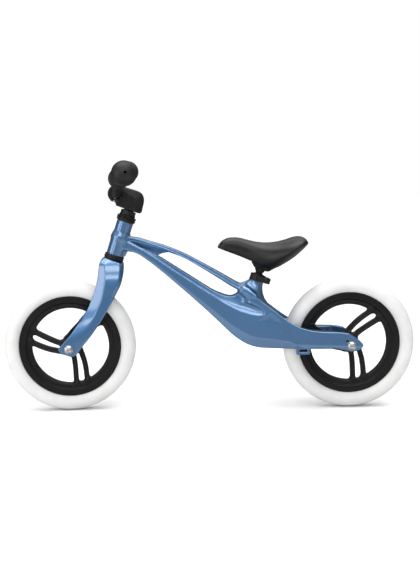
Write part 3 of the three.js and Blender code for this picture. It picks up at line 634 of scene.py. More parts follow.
def lug_field(x, y, z):
    plate = np.abs(np.abs(y) - LUG_MIDDLE) - LUG_HALF
    return smooth_max(smooth_max(LUG(x, z), plate, 1.6), -LUG_SLOT(x, z), 0.6)


def stub_field(x, y, z):
    """The seat tube's stub, spreading into the body in wide hollow curves."""
    u, s = own_axes(*SEAT_TUBE, x, z)
    ahead, behind = STUB_AHEAD(s), STUB_BEHIND(s)
    reach = np.where(u < 0, ahead, behind)
    half = STUB_HALF(s)
    skirt = (np.hypot(u / reach, y / half) - 1) * np.minimum(reach, half)
    return smooth_max(skirt, np.maximum(s - STUB_TOP, STUB_FOOT - s), 0.6)


def frame_field(x, y, z):
    side = np.abs(y)
    merging = np.interp(x, [45, 75], [1.5, 13])
    body = smooth_min(beam_field(x, y, z), tube_field(x, y, z), merging)
    valley = smooth_max(VALLEY(x, z), side - BODY_WIDTH(x) + RIDGE, 4)
    body = smooth_max(body, -valley, 1.5)
    drop = np.maximum(0, -BELOW_TUBE_TOP(x, z) - 9)
    web = smooth_max(HEAD_WEB(x, z), side - np.maximum(3, 10 - 0.7 * drop), 1)
    body = smooth_min(body, web, 1)
    head = tube(*STEERING, x, y, z, HEAD_PROFILE, *HEAD_ENDS)
    head = smooth_min(head, smooth_max(HEAD_FIN(x, z), side - 6, 2), 5)
    body = smooth_min(body, head, np.interp(z, [340, 362, 376, 388], [6, 4, 4, 8]))
    body = smooth_min(body, stub_field(x, y, z), 10)
    body = smooth_min(body, lug_field(x, y, z), 1.5)
    body = smooth_max(body, -wheel_room(x, y, z, REAR_X, 1, REAR_MOUNT), 2.5)
    bores = np.minimum(tube(*STEERING, x, y, z, HEAD_BORE, -60, 60),
                       tube(*SEAT_TUBE, x, y, z, SEAT_POST_RADIUS + GAP, -95, 30))
    holes = np.minimum(from_axis(x, z, TAB_HOLE) - TAB_HOLE_RADIUS,
                       from_axis(x, z, (REAR_X, WHEEL_RADIUS)) - AXLE_RADIUS - GAP)
    return smooth_max(body, -np.minimum(bores, holes), 0.8)


def make_frame():
    low, high = (-226, -57, 124), (335, 57, 422)
    return piece("frame_casting", carved(frame_field, low, high, CAST), BLUE, "frame",
                 "frame_paint", "frame", crease=60)


# ---- fork casting ----

FORK_LEADING = [(-205, 352), (-226, 341), (-237, 331), (-240, 316), (-243, 296), (-249, 274),
                (-256, 254), (-273, 219), (-290, 196), (-306, 174), (-325, 153.5)]
FORK_TRAILING = [(-258, 175), (-238, 203), (-216, 239), (-203, 262), (-192, 284), (-187, 306),
                 (-187, 326), (-196, 340)]
FORK_SIDE = Outline(curve(
    FORK_LEADING + [(-330.5, 146), (-326.5, 138.5), (-314, 132), (-301.5, 128.8), (-291, 134),
                    (-282, 146)] + FORK_TRAILING, closed=True))
FORK_HALF = [(0, 347), (9, 345.5), (19, 340), (27.5, 330), (33, 317), (36.8, 304), (40.3, 292),
             (42.4, 278), (43, 262)]
FORK_FRONT = Outline(np.vstack([
    curve([(-u, v) for u, v in FORK_HALF[:0:-1]] + FORK_HALF + [(46, 220), (50, 170), (50, 120)]),
    [(50, 90), (-50, 90)],
    curve([(-50, 120), (-50, 170), (-46, 220)])]))
BEHIND_FRONT = Outline(np.vstack([curve(FORK_LEADING + [(-345, 135)]),
                                  [(-345, 60), (-100, 60), (-100, 420), (-205, 420)]]))
AHEAD_OF_REAR = Outline(np.vstack([curve([(-310, 112), (-283, 146)] + FORK_TRAILING),
                                   [(-196, 420), (-420, 420), (-420, 112)]]))
FRONT_BEVEL = along([(150, 14), (170, 19), (190, 21), (216, 21), (253, 20.5), (289, 17.5), (308, 15.5),
                     (335, 10)])
FRONT_BEVEL_FALL = along([(150, 0.01), (170, 0.08), (200, 0.3), (225, 0.48), (250, 0.55), (340, 0.55)])
REAR_BEVEL = along([(120, 1), (240, 2), (258, 6), (300, 8), (335, 8)])
CROWN_SEAT = -51
CROWN_CAP = along([(-90, 12), (-80, 17), (-70, 20.8), (-60, 21.8), (-51, 20.8)])


def fork_field(x, y, z):
    face = FORK_FRONT(y, z)
    whole = smooth_max(FORK_SIDE(x, z), face, 1.6)
    width = FRONT_BEVEL(z)
    front = bevelled(BEHIND_FRONT(x, z), face, width, FRONT_BEVEL_FALL(z) * width)
    rear = bevelled(AHEAD_OF_REAR(x, z), face, REAR_BEVEL(z), 0.9 * REAR_BEVEL(z))
    whole = smooth_max(smooth_max(whole, front, 1.2), rear, 1.2)
    cap = tube(*STEERING, x, y, z, CROWN_CAP, -80, CROWN_SEAT)
    whole = smooth_min(whole, cap, 5)
    _, s = own_axes(*STEERING, x, z)
    whole = smooth_max(whole, s - CROWN_SEAT, 1)
    whole = smooth_max(whole, -wheel_room(x, y, z, FRONT_X, -1, FRONT_MOUNT), 2)
    bore = tube(*STEERING, x, y, z, STEERER_RADIUS + GAP, -92, -20)
    hole = from_axis(x, z, (FRONT_X, WHEEL_RADIUS)) - AXLE_RADIUS - GAP
    return smooth_max(whole, -np.minimum(bore, hole), 0.8)


def make_fork():
    low, high = (-332, -51, 128), (-180, 51, 345)
    return piece("fork_casting", steered(carved(fork_field, low, high, CAST)), BLUE, "fork",
                 "frame_paint", "fork", crease=60)


# ---- wheels ----


def both_sides(half, middle=()):
    """A closed section from its half at negative heights."""
    return half + list(middle) + [(r, -h) for r, h in half[::-1]] + half[:1]


RIM_SECTION = both_sides([(84.5, -6), (88, -8), (95, -9), (97.2, -12.2), (98.8, -12.9),
                          (109.5, -12.9), (111.5, -12), (111.5, -10.5), (105.5, -9), (104, -7)])
TYRE_SECTION = both_sides([(104.4, -9), (111.9, -9.8), (112.1, -13.5), (113, -15.5), (116, -18.8),
                           (120, -21.2), (125, -22.4), (130, -21.8), (135, -19.6), (139.6, -15.6),
                           (142.6, -10.5), (144.4, -5.2)], [(WHEEL_RADIUS, 0)])
SPOKE_RIBS = [curve([(6, -1.5), (26, -0.5), (46, -3.5), (66, -8), (90, -14)], steps=6),
              curve([(6, 17), (26, 18.5), (46, 18.5), (66, 16), (90, 11)], steps=6)]
SPOKE_PHASE = math.radians(285.4)
SPOKE_PAIRS = 3
SPOKE_HALF_WIDTH = 5.4
SPOKE_HALF_DEPTH = 8.0


def run_distance(u, v, run):
    """Distance to an open run of points."""
    best = np.inf
    for (au, av), (bu, bv) in zip(run, run[1:]):
        eu, ev = bu - au, bv - av
        t = np.clip(((u - au) * eu + (v - av) * ev) / (eu * eu + ev * ev), 0, 1)
        best = np.minimum(best, np.hypot(u - au - t * eu, v - av - t * ev))
    return best


def spider_field(hub):
    """The spokes and the hub about Z, with a thin ring that carries the fillets to the rim."""
    def field(u, v, w):
        ribs = 1e3
        for i in range(SPOKE_PAIRS):
            turn = SPOKE_PHASE - 2 * math.pi * i / SPOKE_PAIRS
            along_u = u * math.cos(turn) + v * math.sin(turn)
            along_v = v * math.cos(turn) - u * math.sin(turn)
            for run in SPOKE_RIBS:
                ribs = smooth_min(ribs, run_distance(along_u, along_v, run), 3)
        radius = np.hypot(u, v)
        groove = 1.3 * np.clip(1 - (ribs / 2.2) ** 2, 0, 1)
        depth = np.abs(w)
        spokes = smooth_max(ribs - SPOKE_HALF_WIDTH, depth - SPOKE_HALF_DEPTH + groove, 2.2)
        ring = smooth_max(np.maximum(85.2 - radius, radius - 95), depth - 6.8, 2)
        plate = smooth_max(radius - HUB_RADIUS - 5, depth - SPOKE_HALF_DEPTH, 2)
        core = smooth_max(radius - HUB_RADIUS + 0.08 * np.maximum(0, depth - 14), depth - hub, 1.2)
        whole = smooth_min(smooth_min(spokes, ring, 8), plate, 6)
        whole = smooth_max(whole, radius - 96, 1)
        whole = smooth_min(whole, core, 5)
        bore = np.minimum(smooth_max(radius - 11.3, hub - 8.3 - depth, 0.5), radius - 7)
        return smooth_max(whole, -bore, 0.6)
    return field


def polar(vertices):
    """The angle about Z and the radius of each vertex."""
    return np.arctan2(vertices[:, 1], vertices[:, 0]), np.hypot(vertices[:, 0], vertices[:, 1])


def tyre_mesh():
    """A foam tyre with fine tread blocks on its crown."""
    section = curve(TYRE_SECTION, steps=3)
    vertices, faces = turned(section, sides=2 * WHEEL_SIDES, ease=0)
    angle, radius = polar(vertices)
    w = vertices[:, 2]
    crown = np.clip((radius - 137.5) / 4, 0, 1)
    lean = np.abs(w) / 60
    block_wave = np.clip(6 * np.sin(72 * (angle + lean)), -1, 1)
    rib_wave = np.clip(4 * np.cos(w * 2 * math.pi / 9.5), -1, 1)
    sunk = 0.35 * crown * (2 - block_wave - rib_wave) / 2
    vertices[:, :2] *= ((radius - sunk) / radius)[:, None]
    return vertices, faces


def ring(inner, outer, low, high):
    return [(inner, low), (outer, low), (outer, high), (inner, high), (inner, low)]


def bolt_mesh(side, mount):
    """A button-head bolt with a hexagon socket and a washer face."""
    face = mount["outer"] + GAP
    vertices, faces = turned(
        [(0, face - 20), (3, face - 20), (3, face), (9.4, face), (9.4, face + 1.3), (8.3, face + 1.5),
         (8.1, face + 2.4), (7.2, face + 4.2), (5.4, face + 5.5), (3.6, face + 5.9), (3.0, face + 5.7),
         (2.9, face + 2.6), (0, face + 2.3)], sides=48, ease=0.35)
    angle, radius = polar(vertices)
    hexagon = math.cos(math.pi / 6) / np.cos((angle % (math.pi / 3)) - math.pi / 6)
    socket = (radius < 3.25) & (vertices[:, 2] > face)
    vertices[socket, :2] *= (1.08 * hexagon[socket])[:, None]
    return (vertices * (1, 1, side), faces)


def make_wheel(prefix, centre, mount, body, holder, steer):
    place = steered if steer else lambda mesh: mesh
    hub = mount["hub"]
    low, high = (-98, -98, -hub), (98, 98, hub)
    spider = carved(spider_field(hub), low, high, COARSE * 0.85)
    rim = joined(turned(RIM_SECTION, WHEEL_SIDES, 0.7), spider)
    tyre = tyre_mesh()
    for name, mesh, look, slot, node in (
            (f"{prefix}_rim_moulding", rim, PLASTIC, "rim_plastic", f"{prefix}_rim"),
            (f"{prefix}_foam_tyre", tyre, FOAM, "tyre_foam", f"{prefix}_tyre")):
        piece(name, place(across(mesh, centre, WHEEL_RADIUS)), look, body, slot, node, crease=50)
    for label, side in (("left", 1), ("right", -1)):
        ends = sorted((side * (hub - 8), side * hub))
        bearing = joined(turned(ring(AXLE_RADIUS + GAP, 7.2, *ends), ease=0.4),
                         turned(ring(9, 11, *ends), ease=0.4),
                         turned(ring(7.2, 9, ends[0] + 0.8, ends[1] - 0.8), ease=0.3))
        piece(f"{prefix}_hub_bearing_{label}", place(across(bearing, centre, WHEEL_RADIUS)), STEEL,
              body, "steel", f"{prefix}_bearing_{label}")
        ends = sorted((side * (hub + GAP), side * (mount["inner"] - GAP)))
        piece(f"{prefix}_axle_spacer_{label}",
              place(across(turned(ring(AXLE_RADIUS + GAP, 8.5, *ends), ease=0.8), centre, WHEEL_RADIUS)),
              STEEL, holder, "steel", f"{prefix}_spacer_{label}")
        piece(f"{prefix}_button_bolt_{label}",
              place(across(bolt_mesh(side, mount), centre, WHEEL_RADIUS)), STEEL, holder, "steel",
              f"{prefix}_axle_bolt_{label}")
    axle = turned([(0, -mount["outer"] + 24), (3.3, -mount["outer"] + 24), (3.3, -mount["outer"]),
                   (AXLE_RADIUS, -mount["outer"]), (AXLE_RADIUS, mount["outer"]),
                   (3.3, mount["outer"]), (3.3, mount["outer"] - 24), (0, mount["outer"] - 24)], 40, 0.3)
    piece(f"{prefix}_axle_rod", place(across(axle, centre, WHEEL_RADIUS)), STEEL, holder, "steel",
          f"{prefix}_axle")


# ---- headset ----


def serrated(mesh, low, high, teeth, depth):
    """Cuts teeth into the widest part of a turned piece between two heights."""
    vertices, faces = mesh
    angle, radius = polar(vertices)
    edge = (vertices[:, 2] > low) & (vertices[:, 2] < high) & (radius > 18)
    wave = np.clip(2.5 * np.sin(teeth * angle), -1, 1)
    vertices[edge, :2] *= (1 - depth * (1 - wave[edge]) / (2 * radius[edge]))[:, None]
    return vertices, faces


def lock_nut_mesh():
    vertices, faces = turned([(13, 53), (16.2, 53), (16.6, 54), (16.6, 60.6), (15.4, 61.8), (13, 61.8),
                              (13, 53)], sides=96, ease=0.3)
    angle, radius = polar(vertices)
    flat = 15.3 / np.cos((angle % (math.pi / 4)) - math.pi / 8)
    outer = radius > 14
    vertices[outer, :2] *= (np.minimum(radius, flat)[outer] / radius[outer])[:, None]
    return vertices, faces


def make_headset():
    lower_cup = turned([(13.3, -43.4), (18.5, -43.4), (18.5, -48.4), (20.8, -48.4), (21.8, -47.2),
                        (21.8, -44.8), (20.6, -44.2), (20.6, -43.2), (21.6, -42.6), (21.6, -40.4),
                        (20.6, -39.4), (14.9, -39.4), (14.9, -29.4), (13.3, -29.4), (13.3, -43.4)],
                       ease=0.35)
    upper_cup = turned([(13.3, 27.8), (14.9, 27.8), (14.9, 37.8), (19.2, 37.8), (20.9, 39.6),
                        (20.9, 41.8), (20.1, 42.4), (20.1, 43), (20.9, 43.6), (20.9, 44.9), (18, 44.9),
                        (18, 40.5), (13.3, 40.5), (13.3, 27.8)], ease=0.35)
    crown_race = turned([(13, -50.7), (20.8, -50.7), (20.8, -48.9), (18, -48.9), (18, -47.9),
                         (13, -47.9), (13, -50.7)], ease=0.3)
    nut = serrated(turned([(13, 45.2), (19.4, 45.2), (20.9, 46), (20.9, 48.4), (18, 49.2), (17.4, 51.1),
                           (13, 51.1), (13, 45.2)], sides=192, ease=0.3), 45.5, 49, 24, 1.7)
    washer = turned(ring(13, 17.6, 51.4, 52.7), ease=0.3)
    for name, mesh, body, node in (
            ("lower_headset_cup", lower_cup, "frame", "headset_lower_cup"),
            ("upper_headset_cup", upper_cup, "frame", "headset_upper_cup"),
            ("crown_race_ring", crown_race, "fork", "fork_crown_race"),
            ("adjusting_nut", nut, "fork", "headset_adjusting_nut"),
            ("lock_washer", washer, "fork", "headset_lock_washer"),
            ("lock_nut", lock_nut_mesh(), "fork", "headset_lock_nut")):
        place = on_steering if body == "fork" else lambda m: leaned(m, *STEERING)
        piece(name, place(mesh), BLACK, body, "black_metal", node)
    for label, height in (("lower", -45.6), ("upper", 42.9)):
        balls = leaned(ball_ring(15.9, height, 2.0, 20), *STEERING)
        piece(f"{label}_ball_ring", balls, STEEL, "frame", "steel", f"headset_{label}_ball_ring")
    steerer = turned(ring(11.3, STEERER_RADIUS, -91.5, 60), ease=0.5)
    piece("threaded_steerer", on_steering(steerer), BLACK, "fork", "black_metal", "steerer_tube")


def ball_ring(radius, height, ball, count):
    """Balls in a ring about Z."""
    half_circle = [(ball * math.sin(a), -ball * math.cos(a)) for a in np.linspace(0, math.pi, 9)]
    one = turned(half_circle, sides=16, ease=0)
    return joined(*[(one[0] + (radius * math.cos(a), radius * math.sin(a), height), one[1])
                    for a in np.linspace(0, 2 * math.pi, count, endpoint=False)])


# ---- stem, bar and grips ----

STEM_BACK = [(-181, 492.5), (-166, 487.5), (-151, 482.5), (-142.5, 477), (-138.5, 468), (-138.6, 458),
             (-141.5, 446)]
STEM_BODY = Outline(np.vstack([
    curve([(-198, 494), (-190, 494.5)] + STEM_BACK + [(-143.6, 438.5), (-147, 435.2), (-152, 435.6)]),
    [(-199, 452.8), (-200, 470)]]))
BELOW_STEM_TOP = Outline(np.vstack([curve([(-240, 496), (-198, 495)] + STEM_BACK),
                                    [(-142, 380), (-240, 380)]]))
STEM_HALF = 22
CLAMP_HALF = 20
CLAMP_RADIUS = 19.6
JAW_BOLTS = (-14, 14)
JAW_BOLTS_ACROSS = (STEER_LEAN + math.pi / 2, BAR_CENTRE + (-5.3, 0, -15.4))


def stem_field(x, y, z):
    side = np.abs(y)
    face = side - STEM_HALF
    whole = smooth_max(STEM_BODY(x, z), face, 5)
    crest = np.interp(x, [-200, -170, -150], [2, 11, 17])
    whole = smooth_max(whole, bevelled(BELOW_STEM_TOP(x, z), face, crest, 0.5 * crest), 1.5)
    radius = from_axis(x, z, BAR_CENTRE)
    clamp = smooth_max(radius - CLAMP_RADIUS, side - CLAMP_HALF, 2.5)
    whole = smooth_min(whole, clamp, 3)
    slit_u, slit_s = own_axes(STEER_LEAN, BAR_CENTRE + (-1, 0, 0), x, z)
    bolt_u, bolt_s = own_axes(*JAW_BOLTS_ACROSS, x, z)
    cuts = [radius - BAR_RADIUS - GAP, np.maximum(np.abs(slit_u) - 2.3, slit_s)]
    for bore, low, high in ((QUILL_RADIUS + GAP, 40, 94), (4.3, 90, 130), (7.8, 101, 140)):
        cuts.append(tube(*STEERING, x, y, z, bore, low, high))
    for place in JAW_BOLTS:
        cuts.append(np.maximum(np.hypot(bolt_u, y - place) - 3.2, np.abs(bolt_s) - 40))
    room = cuts[0]
    for cut in cuts[1:]:
        room = np.minimum(room, cut)
    return smooth_max(whole, -room, 0.7)


def screw(low, high, radius, head_radius, head_low, head_high, socket=2.0):
    """A socket-head screw about Z, its head at the top."""
    return turned([(0, low), (radius, low), (radius, head_low), (head_radius, head_low),
                   (head_radius, head_high), (socket, head_high), (socket, head_high - 2.5),
                   (0, head_high - 2.5)], 40, 0.4)


def make_stem():
    stem = carved(stem_field, (-218, -24, 432), (-136, 24, 500), MEDIUM)
    piece("stem_body", steered(stem), BLACK, "stem", "black_metal", "stem", crease=60)
    for number, place in enumerate(JAW_BOLTS, 1):
        lean, middle = JAW_BOLTS_ACROSS
        bolt = leaned(turned([(0, -9), (2.9, -9), (2.9, 22), (0, 22)], 32, 0.5), lean,
                      middle + (0, place, 0))
        piece(f"jaw_bolt_{number}", steered(bolt), STEEL, "stem", "steel", f"stem_clamp_bolt_{number}")

    def expander(low, high, beyond):
        """One half of the quill, cut along the slope between post and wedge."""
        def field(x, y, z):
            whole = tube(*STEERING, x, y, z, QUILL_RADIUS, low, high)
            bore = tube(*STEERING, x, y, z, 4.5, *beyond)
            _, s = own_axes(*STEERING, x, z)
            slope = s - 0.546 * y
            return np.maximum(smooth_max(whole, -bore, 0.4), -19.5 - slope if high > 0 else slope + 27.5)
        return field

    post = carved(expander(-28, 93.7, (-40, 120)), (-214, -12, 350), (-148, 12, 476), MEDIUM)
    wedge = carved(expander(-52, -8, (-60, 0)), (-222, -12, 325), (-186, 12, 372), MEDIUM)
    piece("quill_post", steered(post), BLACK, "stem", "black_metal", "stem_quill_post", crease=45)
    piece("quill_wedge", steered(wedge), STEEL, "stem", "steel", "stem_expander_wedge", crease=45)
    piece("quill_bolt", on_steering(screw(-50, 0, 4, 7, 101.3, 108, 3)), STEEL, "stem", "steel",
          "stem_expander_bolt")


def bar_path():
    """Straight through the clamp, up in a bend, then straight inside the grip."""
    right = [BAR_CENTRE + step for step in ((0, 10, 0), (0, 19, 0), (0, 28, 0), (0.9, 40, 5),
                                            (3.4, 58, 22))]
    right += [GRIP_START + reach * GRIP_WAY for reach in (-14, 6, 60, 112)]
    left = [p * (1, -1, 1) for p in right[::-1]]
    return curve(left + right, steps=10)


def grip_mesh(side):
    length = GRIP_LENGTH
    neck = math.asin(15.6 / BALL_RADIUS)
    ball = [(BALL_RADIUS * math.sin(a), length - BALL_RADIUS * math.cos(a))
            for a in np.linspace(neck, math.pi - math.asin(2.9 / BALL_RADIUS), 28)]
    barrel = []
    for i in range(9):
        low = 14 + 7.6 * i
        barrel += [(15.4, low), (16.4, low + 1.2), (16.4, low + 4.8), (15.4, low + 6)]
    profile = [(11.7, 0), (19.5, 0), (21.6, 1.0), (22.3, 2.6), (21.6, 4.4), (19, 5.8), (16.6, 8.5),
               (15.6, 12), *barrel, (15.4, length - 24), *ball, (2.7, length + 24.6), (2.7, length),
               (2.4, 113.2), (11.7, 113.2), (11.7, 0)]
    vertices, faces = turned(profile, 72, 0.5)
    turn = rotation(np.cross((0, 0, 1), GRIP_WAY), math.acos(GRIP_WAY[2]))
    vertices = vertices @ turn.T + GRIP_START
    return vertices * (1, side, 1), faces


def make_handlebar():
    piece("bent_handlebar", steered(swept(bar_path(), BAR_RADIUS, 40)), BLACK, "handlebar",
          "black_metal", "handlebar", crease=50)
    for label, side in (("left", -1), ("right", 1)):
        piece(f"ball_grip_{label}", steered(grip_mesh(side)), RUBBER, "handlebar", "grip_rubber",
              f"grip_{label}", crease=45)


# ---- saddle ----

SADDLE_TOP = along([(20, 358), (21.5, 362), (26, 369), (33, 375), (43, 379.5), (55, 381), (68, 380),
                    (89, 374.5), (106, 370.5), (125, 368.5), (146, 369.5), (167, 373.5), (188, 379.5),
                    (201, 380.8), (210, 378), (217, 371), (219.5, 364)])
SADDLE_SKIRT = along([(20, 357.5), (30, 353), (47, 347), (68, 339), (89, 330), (106, 322), (122, 315),
                      (137, 312), (150, 314.5), (167, 324), (185, 336), (202, 350), (214, 360),
                      (219.5, 364)])
ROUNDNESS = 2.35
SADDLE_WIDTH = along([(20, 3), (23, 9), (32, 17), (55, 21), (90, 26), (120, 37), (150, 54), (176, 65.5),
                      (196, 65), (208, 56), (216, 38), (219.5, 14)])
SADDLE_SIDE = Outline(np.vstack([
    curve([(20, 360), (23, 365), (28, 371.5), (34, 376), (43, 379.8), (55, 381), (68, 380), (89, 374.5),
           (106, 370.5), (125, 368.5), (146, 369.5), (167, 373.5), (188, 379.5), (201, 380.8),
           (211, 378.5), (217.5, 372), (218, 364.5), (212, 357.5), (202, 349), (185, 335.5), (167, 323.5),
           (150, 314), (137, 311.5), (122, 315), (106, 322), (89, 330), (68, 339), (47, 347),
           (30, 353.5), (22, 356.5)], closed=True)]))


def saddle_field(x, y, z):
    """The pad: rolled over above its widest line, its sides drawn in towards the skirt below."""
    top, skirt = SADDLE_TOP(x), SADDLE_SKIRT(x)
    width = np.maximum(SADDLE_WIDTH(x), 2)
    deep = np.maximum(top - skirt, 3)
    widest = skirt + 0.42 * deep
    rise = np.maximum(top - widest, 0.5)
    above = np.maximum(z - widest, 0) / rise
    below = np.clip((widest - z) / (widest - skirt), 0, 1.3)
    tuck = np.interp(x, [20, 90, 150, 220], [0.25, 0.3, 0.5, 0.42])
    across_part = np.abs(y) / (width * (1 - tuck * below**1.6))
    section = (across_part**ROUNDNESS + above**ROUNDNESS) ** (1 / ROUNDNESS) - 1
    section *= np.minimum(width, rise)
    return smooth_max(section, SADDLE_SIDE(x, z), 5)


def saddle_pad_field(x, y, z):
    """The pad with the pocket under it that the base sits in."""
    pocket = block(x, y, z, (133.9, 0, 318), (40.6, 18.6, 19), 2)
    return smooth_max(saddle_field(x, y, z), -pocket, 0.8)


def ears_field(x, y, z, half, radius):
    """A plate that hangs to the saddle's pivot."""
    round_end = from_axis(x, z, SADDLE_PIVOT) - radius
    upper = np.maximum(np.abs(x - SADDLE_PIVOT[0]) - radius, np.abs(z - 318) - 9)
    return smooth_max(smooth_min(round_end, upper, 2), np.abs(y) - half, 1.2)


BASE_SIDE = Outline(curve([(94, 333), (95, 326), (99, 317), (104, 313), (128, 304.5), (140, 309),
                           (156, 317), (172, 329), (173, 334), (130, 335), (100, 335)], closed=True))


def saddle_base_field(x, y, z):
    shell = smooth_max(BASE_SIDE(x, z), np.abs(y) - 18, 2.5)
    whole = smooth_min(shell, ears_field(x, y, z, 13, 10), 2.5)
    radius = from_axis(x, z, SADDLE_PIVOT)
    slot = np.maximum(radius - 13.5, np.abs(y) - 7.5)
    recess = np.maximum(radius - 6.5, 13 - np.abs(y))
    room = np.minimum(np.minimum(slot, recess), radius - 3.4)
    return smooth_max(whole, -room, 0.6)


def seat_post_field(x, y, z):
    post = tube(*SEAT_TUBE, x, y, z, SEAT_POST_RADIUS, -92, 16.5, 1)
    tongue = smooth_max(from_axis(x, z, SADDLE_PIVOT) - 9.5, np.abs(y) - 7, 1)
    neck = smooth_max(np.maximum(np.abs(x - SADDLE_PIVOT[0] + 2) - 7, np.abs(z - 301) - 9),
                      np.abs(y) - 7, 1)
    whole = smooth_min(post, smooth_min(tongue, neck, 2), 3)
    return smooth_max(whole, 3.4 - from_axis(x, z, SADDLE_PIVOT), 0.5)


def make_saddle():
    pad = carved(saddle_pad_field, (18, -67, 308), (221, 67, 383), COARSE)
    cushion = piece("saddle_cushion", pad, COVER, "saddle", "saddle_cover", "saddle_pad", crease=60)
    base = carved(saddle_base_field, (90, -20, 296), (176, 20, 337), MEDIUM)
    piece("saddle_bracket", base, PLASTIC, "saddle", "rim_plastic", "saddle_base", crease=55)
    bolt = turned([(0, -17.2), (4.4, -17.2), (5, -16.6), (5, -13.4), (3, -13.4), (3, 13.4), (5.6, 13.4),
                   (5.6, 16.4), (4.6, 17.5), (2.4, 17.5), (2.4, 15.2), (0, 15.2)], 40, 0.3)
    piece("saddle_pinch_bolt", across(bolt, SADDLE_PIVOT[0], SADDLE_PIVOT[2]), BLACK, "saddle",
          "black_metal", "saddle_bolt")
    post = carved(seat_post_field, (70, -12, 192), (126, 12, 320), MEDIUM)
    piece("seat_pillar", post, BLACK, "seat_post", "black_metal", "seat_post", crease=55)


# ---- seat clamp, in the seat tube's own axes ----


def collar_field(u, v, w):
    radius = np.hypot(u, v)
    band = smooth_max(radius - 17.5 + 0.5 * np.clip(1 - (np.abs(w - 7.7) / 4.5) ** 4, 0, 1),
                      np.abs(w - 7.65) - 7.35, 1.2)
    lug = block(u, v, w, (18, 0, 7.7), (9, 11.5, 5.5), 1.6)
    whole = smooth_min(band, lug, 2)
    bolt = np.hypot(u - CLAMP_PIVOT[0], w - CLAMP_PIVOT[2]) - 3.1
    split = np.maximum(np.abs(v) - 1.5, 6 - u)
    room = np.minimum(np.minimum(radius - SEAT_STUB_RADIUS - GAP, bolt), split)
    return smooth_max(whole, -room, 0.5)


def lever_field(u, v, w):
    pu, pv, pw = u - CLAMP_PIVOT[0], v - CLAMP_PIVOT[1], w - CLAMP_PIVOT[2]
    cheek = smooth_max(np.hypot(pu, pv) - 7.5, np.abs(pw) - 5.8, 1)
    handle = block(pu, pv, pw, (-10.5, -1.5, 0), (10.5, 3.25, 5.8), 1.6)
    whole = smooth_min(cheek, handle, 2)
    slot = np.maximum(np.hypot(pu, pv) - 8.2, np.abs(pw) - 2.3)
    room = np.minimum(slot, np.hypot(pu, pv) - 2.3)
    return smooth_max(whole, -room, 0.5)


def clamp_bolt_field(u, v, w):
    pu, pv, pw = u - CLAMP_PIVOT[0], v - CLAMP_PIVOT[1], w - CLAMP_PIVOT[2]
    reach = np.hypot(pu, pw)
    shank = smooth_max(reach - 2.8, np.maximum(-16.2 - v, v - 22), 0.4)
    # The flats run from the pivot to just short of the collar.
    shank = np.maximum(shank, np.where(v < -13, np.abs(pw) - 1.9, -1))
    nut = smooth_max(np.maximum(np.abs(pw) - 5.2, reach - 6), np.maximum(-16.2 - v, v + 12), 0.5)
    nut = np.maximum(nut, -13 - v)
    eye = smooth_max(np.hypot(pu, pv) - 7.2, np.abs(pw) - 1.9, 0.4)
    whole = np.minimum(np.minimum(shank, nut), eye)
    return smooth_max(whole, 2.3 - np.hypot(pu, pv), 0.3)


def make_seat_clamp():
    for name, field, low, high, body, node in (
            ("clamp_collar", collar_field, (-18, -18, 0), (28, 18, 15.5), "frame", "seat_clamp_collar"),
            ("clamp_lever", lever_field, (-2, -29.5, 1), (29, -12, 15), "seat_clamp_lever",
             "seat_clamp_lever"),
            ("clamp_bolt", clamp_bolt_field, (11, -30, 1), (29, 23, 15), "frame",
             "seat_clamp_bolt")):
        piece(name, on_seat(carved(field, low, high, FINE)), BLACK, body, "black_metal", node,
              crease=45)
    vertices, faces = turned([(0, -6.2), (2, -6.2), (2, 6.2), (0, 6.2)], 24, 0.3)
    piece("clamp_pin", on_seat((vertices + CLAMP_PIVOT, faces)), STEEL, "frame", "steel",
          "seat_clamp_pin")


# ---- studio ----


def area_light(name, place, aim, width, height, power):
    data = bpy.data.lights.new(name, "AREA")
    data.shape = "RECTANGLE"
    data.size, data.size_y = width, height
    data.energy = power
    light = bpy.data.objects.new(name, data)
    bpy.context.scene.collection.objects.link(light)
    back = np.array(place, float) - np.array(aim, float)
    light.location = place
    light.rotation_euler = (math.acos(back[2] / np.linalg.norm(back)), 0,
                            math.atan2(back[0], -back[1]))


# How bright the studio looks from the sine of -90 degrees (0) to that of +90 degrees (1).
SKY_TONES = ((0.0, 0.12), (0.04, 0.16), (0.09, 0.9), (0.24, 1.15), (0.37, 0.6), (0.5, 0.22),
             (0.62, 0.28), (0.75, 0.6), (0.88, 0.95), (1.0, 1.1))
BEHIND_TONE = 0.35


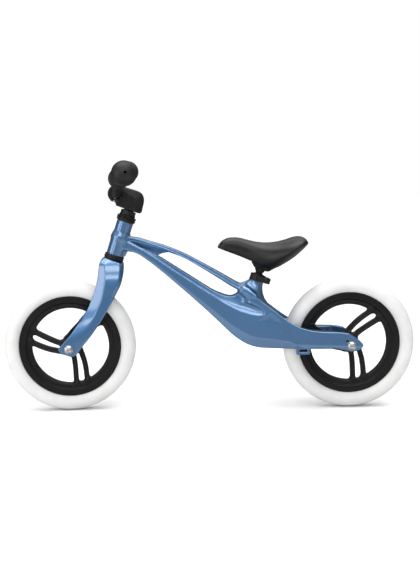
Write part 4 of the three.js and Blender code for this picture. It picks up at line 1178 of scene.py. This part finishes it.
def studio_sky(tree):
    """White to look at, and a soft studio to be lit by: bright overhead, dim behind."""
    seen = tree.nodes["Background"]
    seen.inputs["Color"].default_value = (1, 1, 1, 1)
    place, parts, ramp, height, depth, lights, rays, mix = (
        tree.nodes.new("ShaderNode" + kind)
        for kind in ("TexCoord", "SeparateXYZ", "ValToRGB", "MapRange", "MapRange", "Background",
                     "LightPath", "MixShader"))
    height.inputs["From Min"].default_value = -1
    for socket, value in (("From Min", -0.5), ("From Max", 0.5), ("To Min", 1),
                          ("To Max", BEHIND_TONE)):
        depth.inputs[socket].default_value = value
    while len(ramp.color_ramp.elements) < len(SKY_TONES):
        ramp.color_ramp.elements.new(0.5)
    for element, (position, tone) in zip(ramp.color_ramp.elements, SKY_TONES):
        element.position = position
        element.color = (tone, tone, tone, 1)
    for start, leaving, end, entering in (
            (place, "Generated", parts, "Vector"), (parts, "Z", height, "Value"),
            (parts, "Y", depth, "Value"), (height, "Result", ramp, "Fac"),
            (ramp, "Color", lights, "Color"), (depth, "Result", lights, "Strength"),
            (rays, "Is Camera Ray", mix, "Fac"), (lights, "Background", mix, 1),
            (seen, "Background", mix, 2), (mix, "Shader", tree.nodes["World Output"], "Surface")):
        tree.links.new(start.outputs[leaving], end.inputs[entering])


# Each softbox: its name, place, aim, width, height and power.
SOFTBOXES = (
    ("overhead_softbox", (0.0, -0.2, 2.2), (0, 0, 0.3), 2.0, 1.0, 12),
    ("front_left_softbox", (-1.45, -1.95, 0.75), (-0.1, 0, 0.35), 0.42, 1.3, 6),
    ("front_right_softbox", (1.7, -1.7, 0.85), (0.1, 0, 0.35), 0.3, 1.3, 2),
    ("left_softbox", (-2.4, -1.2, 0.4), (-0.2, 0, 0.3), 1.0, 2.0, 19),
    ("front_strip", (0.0, -2.3, 1.62), (0, 0, 0.3), 2.2, 0.6, 16),
    ("back_softbox", (0.3, 1.9, 1.5), (0, 0, 0.3), 1.6, 0.8, 3))


def make_studio():
    scene = bpy.context.scene
    scene.view_settings.view_transform = "Standard"
    world = bpy.data.worlds.new("studio")
    scene.world = world
    world.use_nodes = True
    studio_sky(world.node_tree)
    for light in SOFTBOXES:
        area_light(*light)
    sun = bpy.data.lights.new("high_fill", "SUN")
    sun.energy = 2.8
    sun.angle = math.radians(80)
    scene.collection.objects.link(bpy.data.objects.new("high_fill", sun))
    bpy.ops.mesh.primitive_plane_add(size=60, location=(0, 0, -0.0005))
    floor = bpy.context.object
    floor.name = "studio_floor"
    floor.data.materials.append(pale_floor())
    floor.visible_glossy = False


def make_camera():
    scene = bpy.context.scene
    data = bpy.data.cameras.new("camera")
    data.lens = 54.6
    data.sensor_width = 36
    data.clip_start = 0.05
    camera = bpy.data.objects.new("camera", data)
    scene.collection.objects.link(camera)
    camera.location = (0.0119, -1.9536, 0.4891)
    camera.rotation_euler = [math.radians(a) for a in (83.17, 0.78, 0.17)]
    scene.camera = camera


make_camera()
make_studio()
make_frame()
make_fork()
make_wheel("front", FRONT_X, FRONT_MOUNT, "front_wheel", "fork", True)
make_wheel("rear", REAR_X, REAR_MOUNT, "rear_wheel", "frame", False)
make_headset()
make_stem()
make_handlebar()
make_saddle()
make_seat_clamp()

bpy.context.view_layer.update()
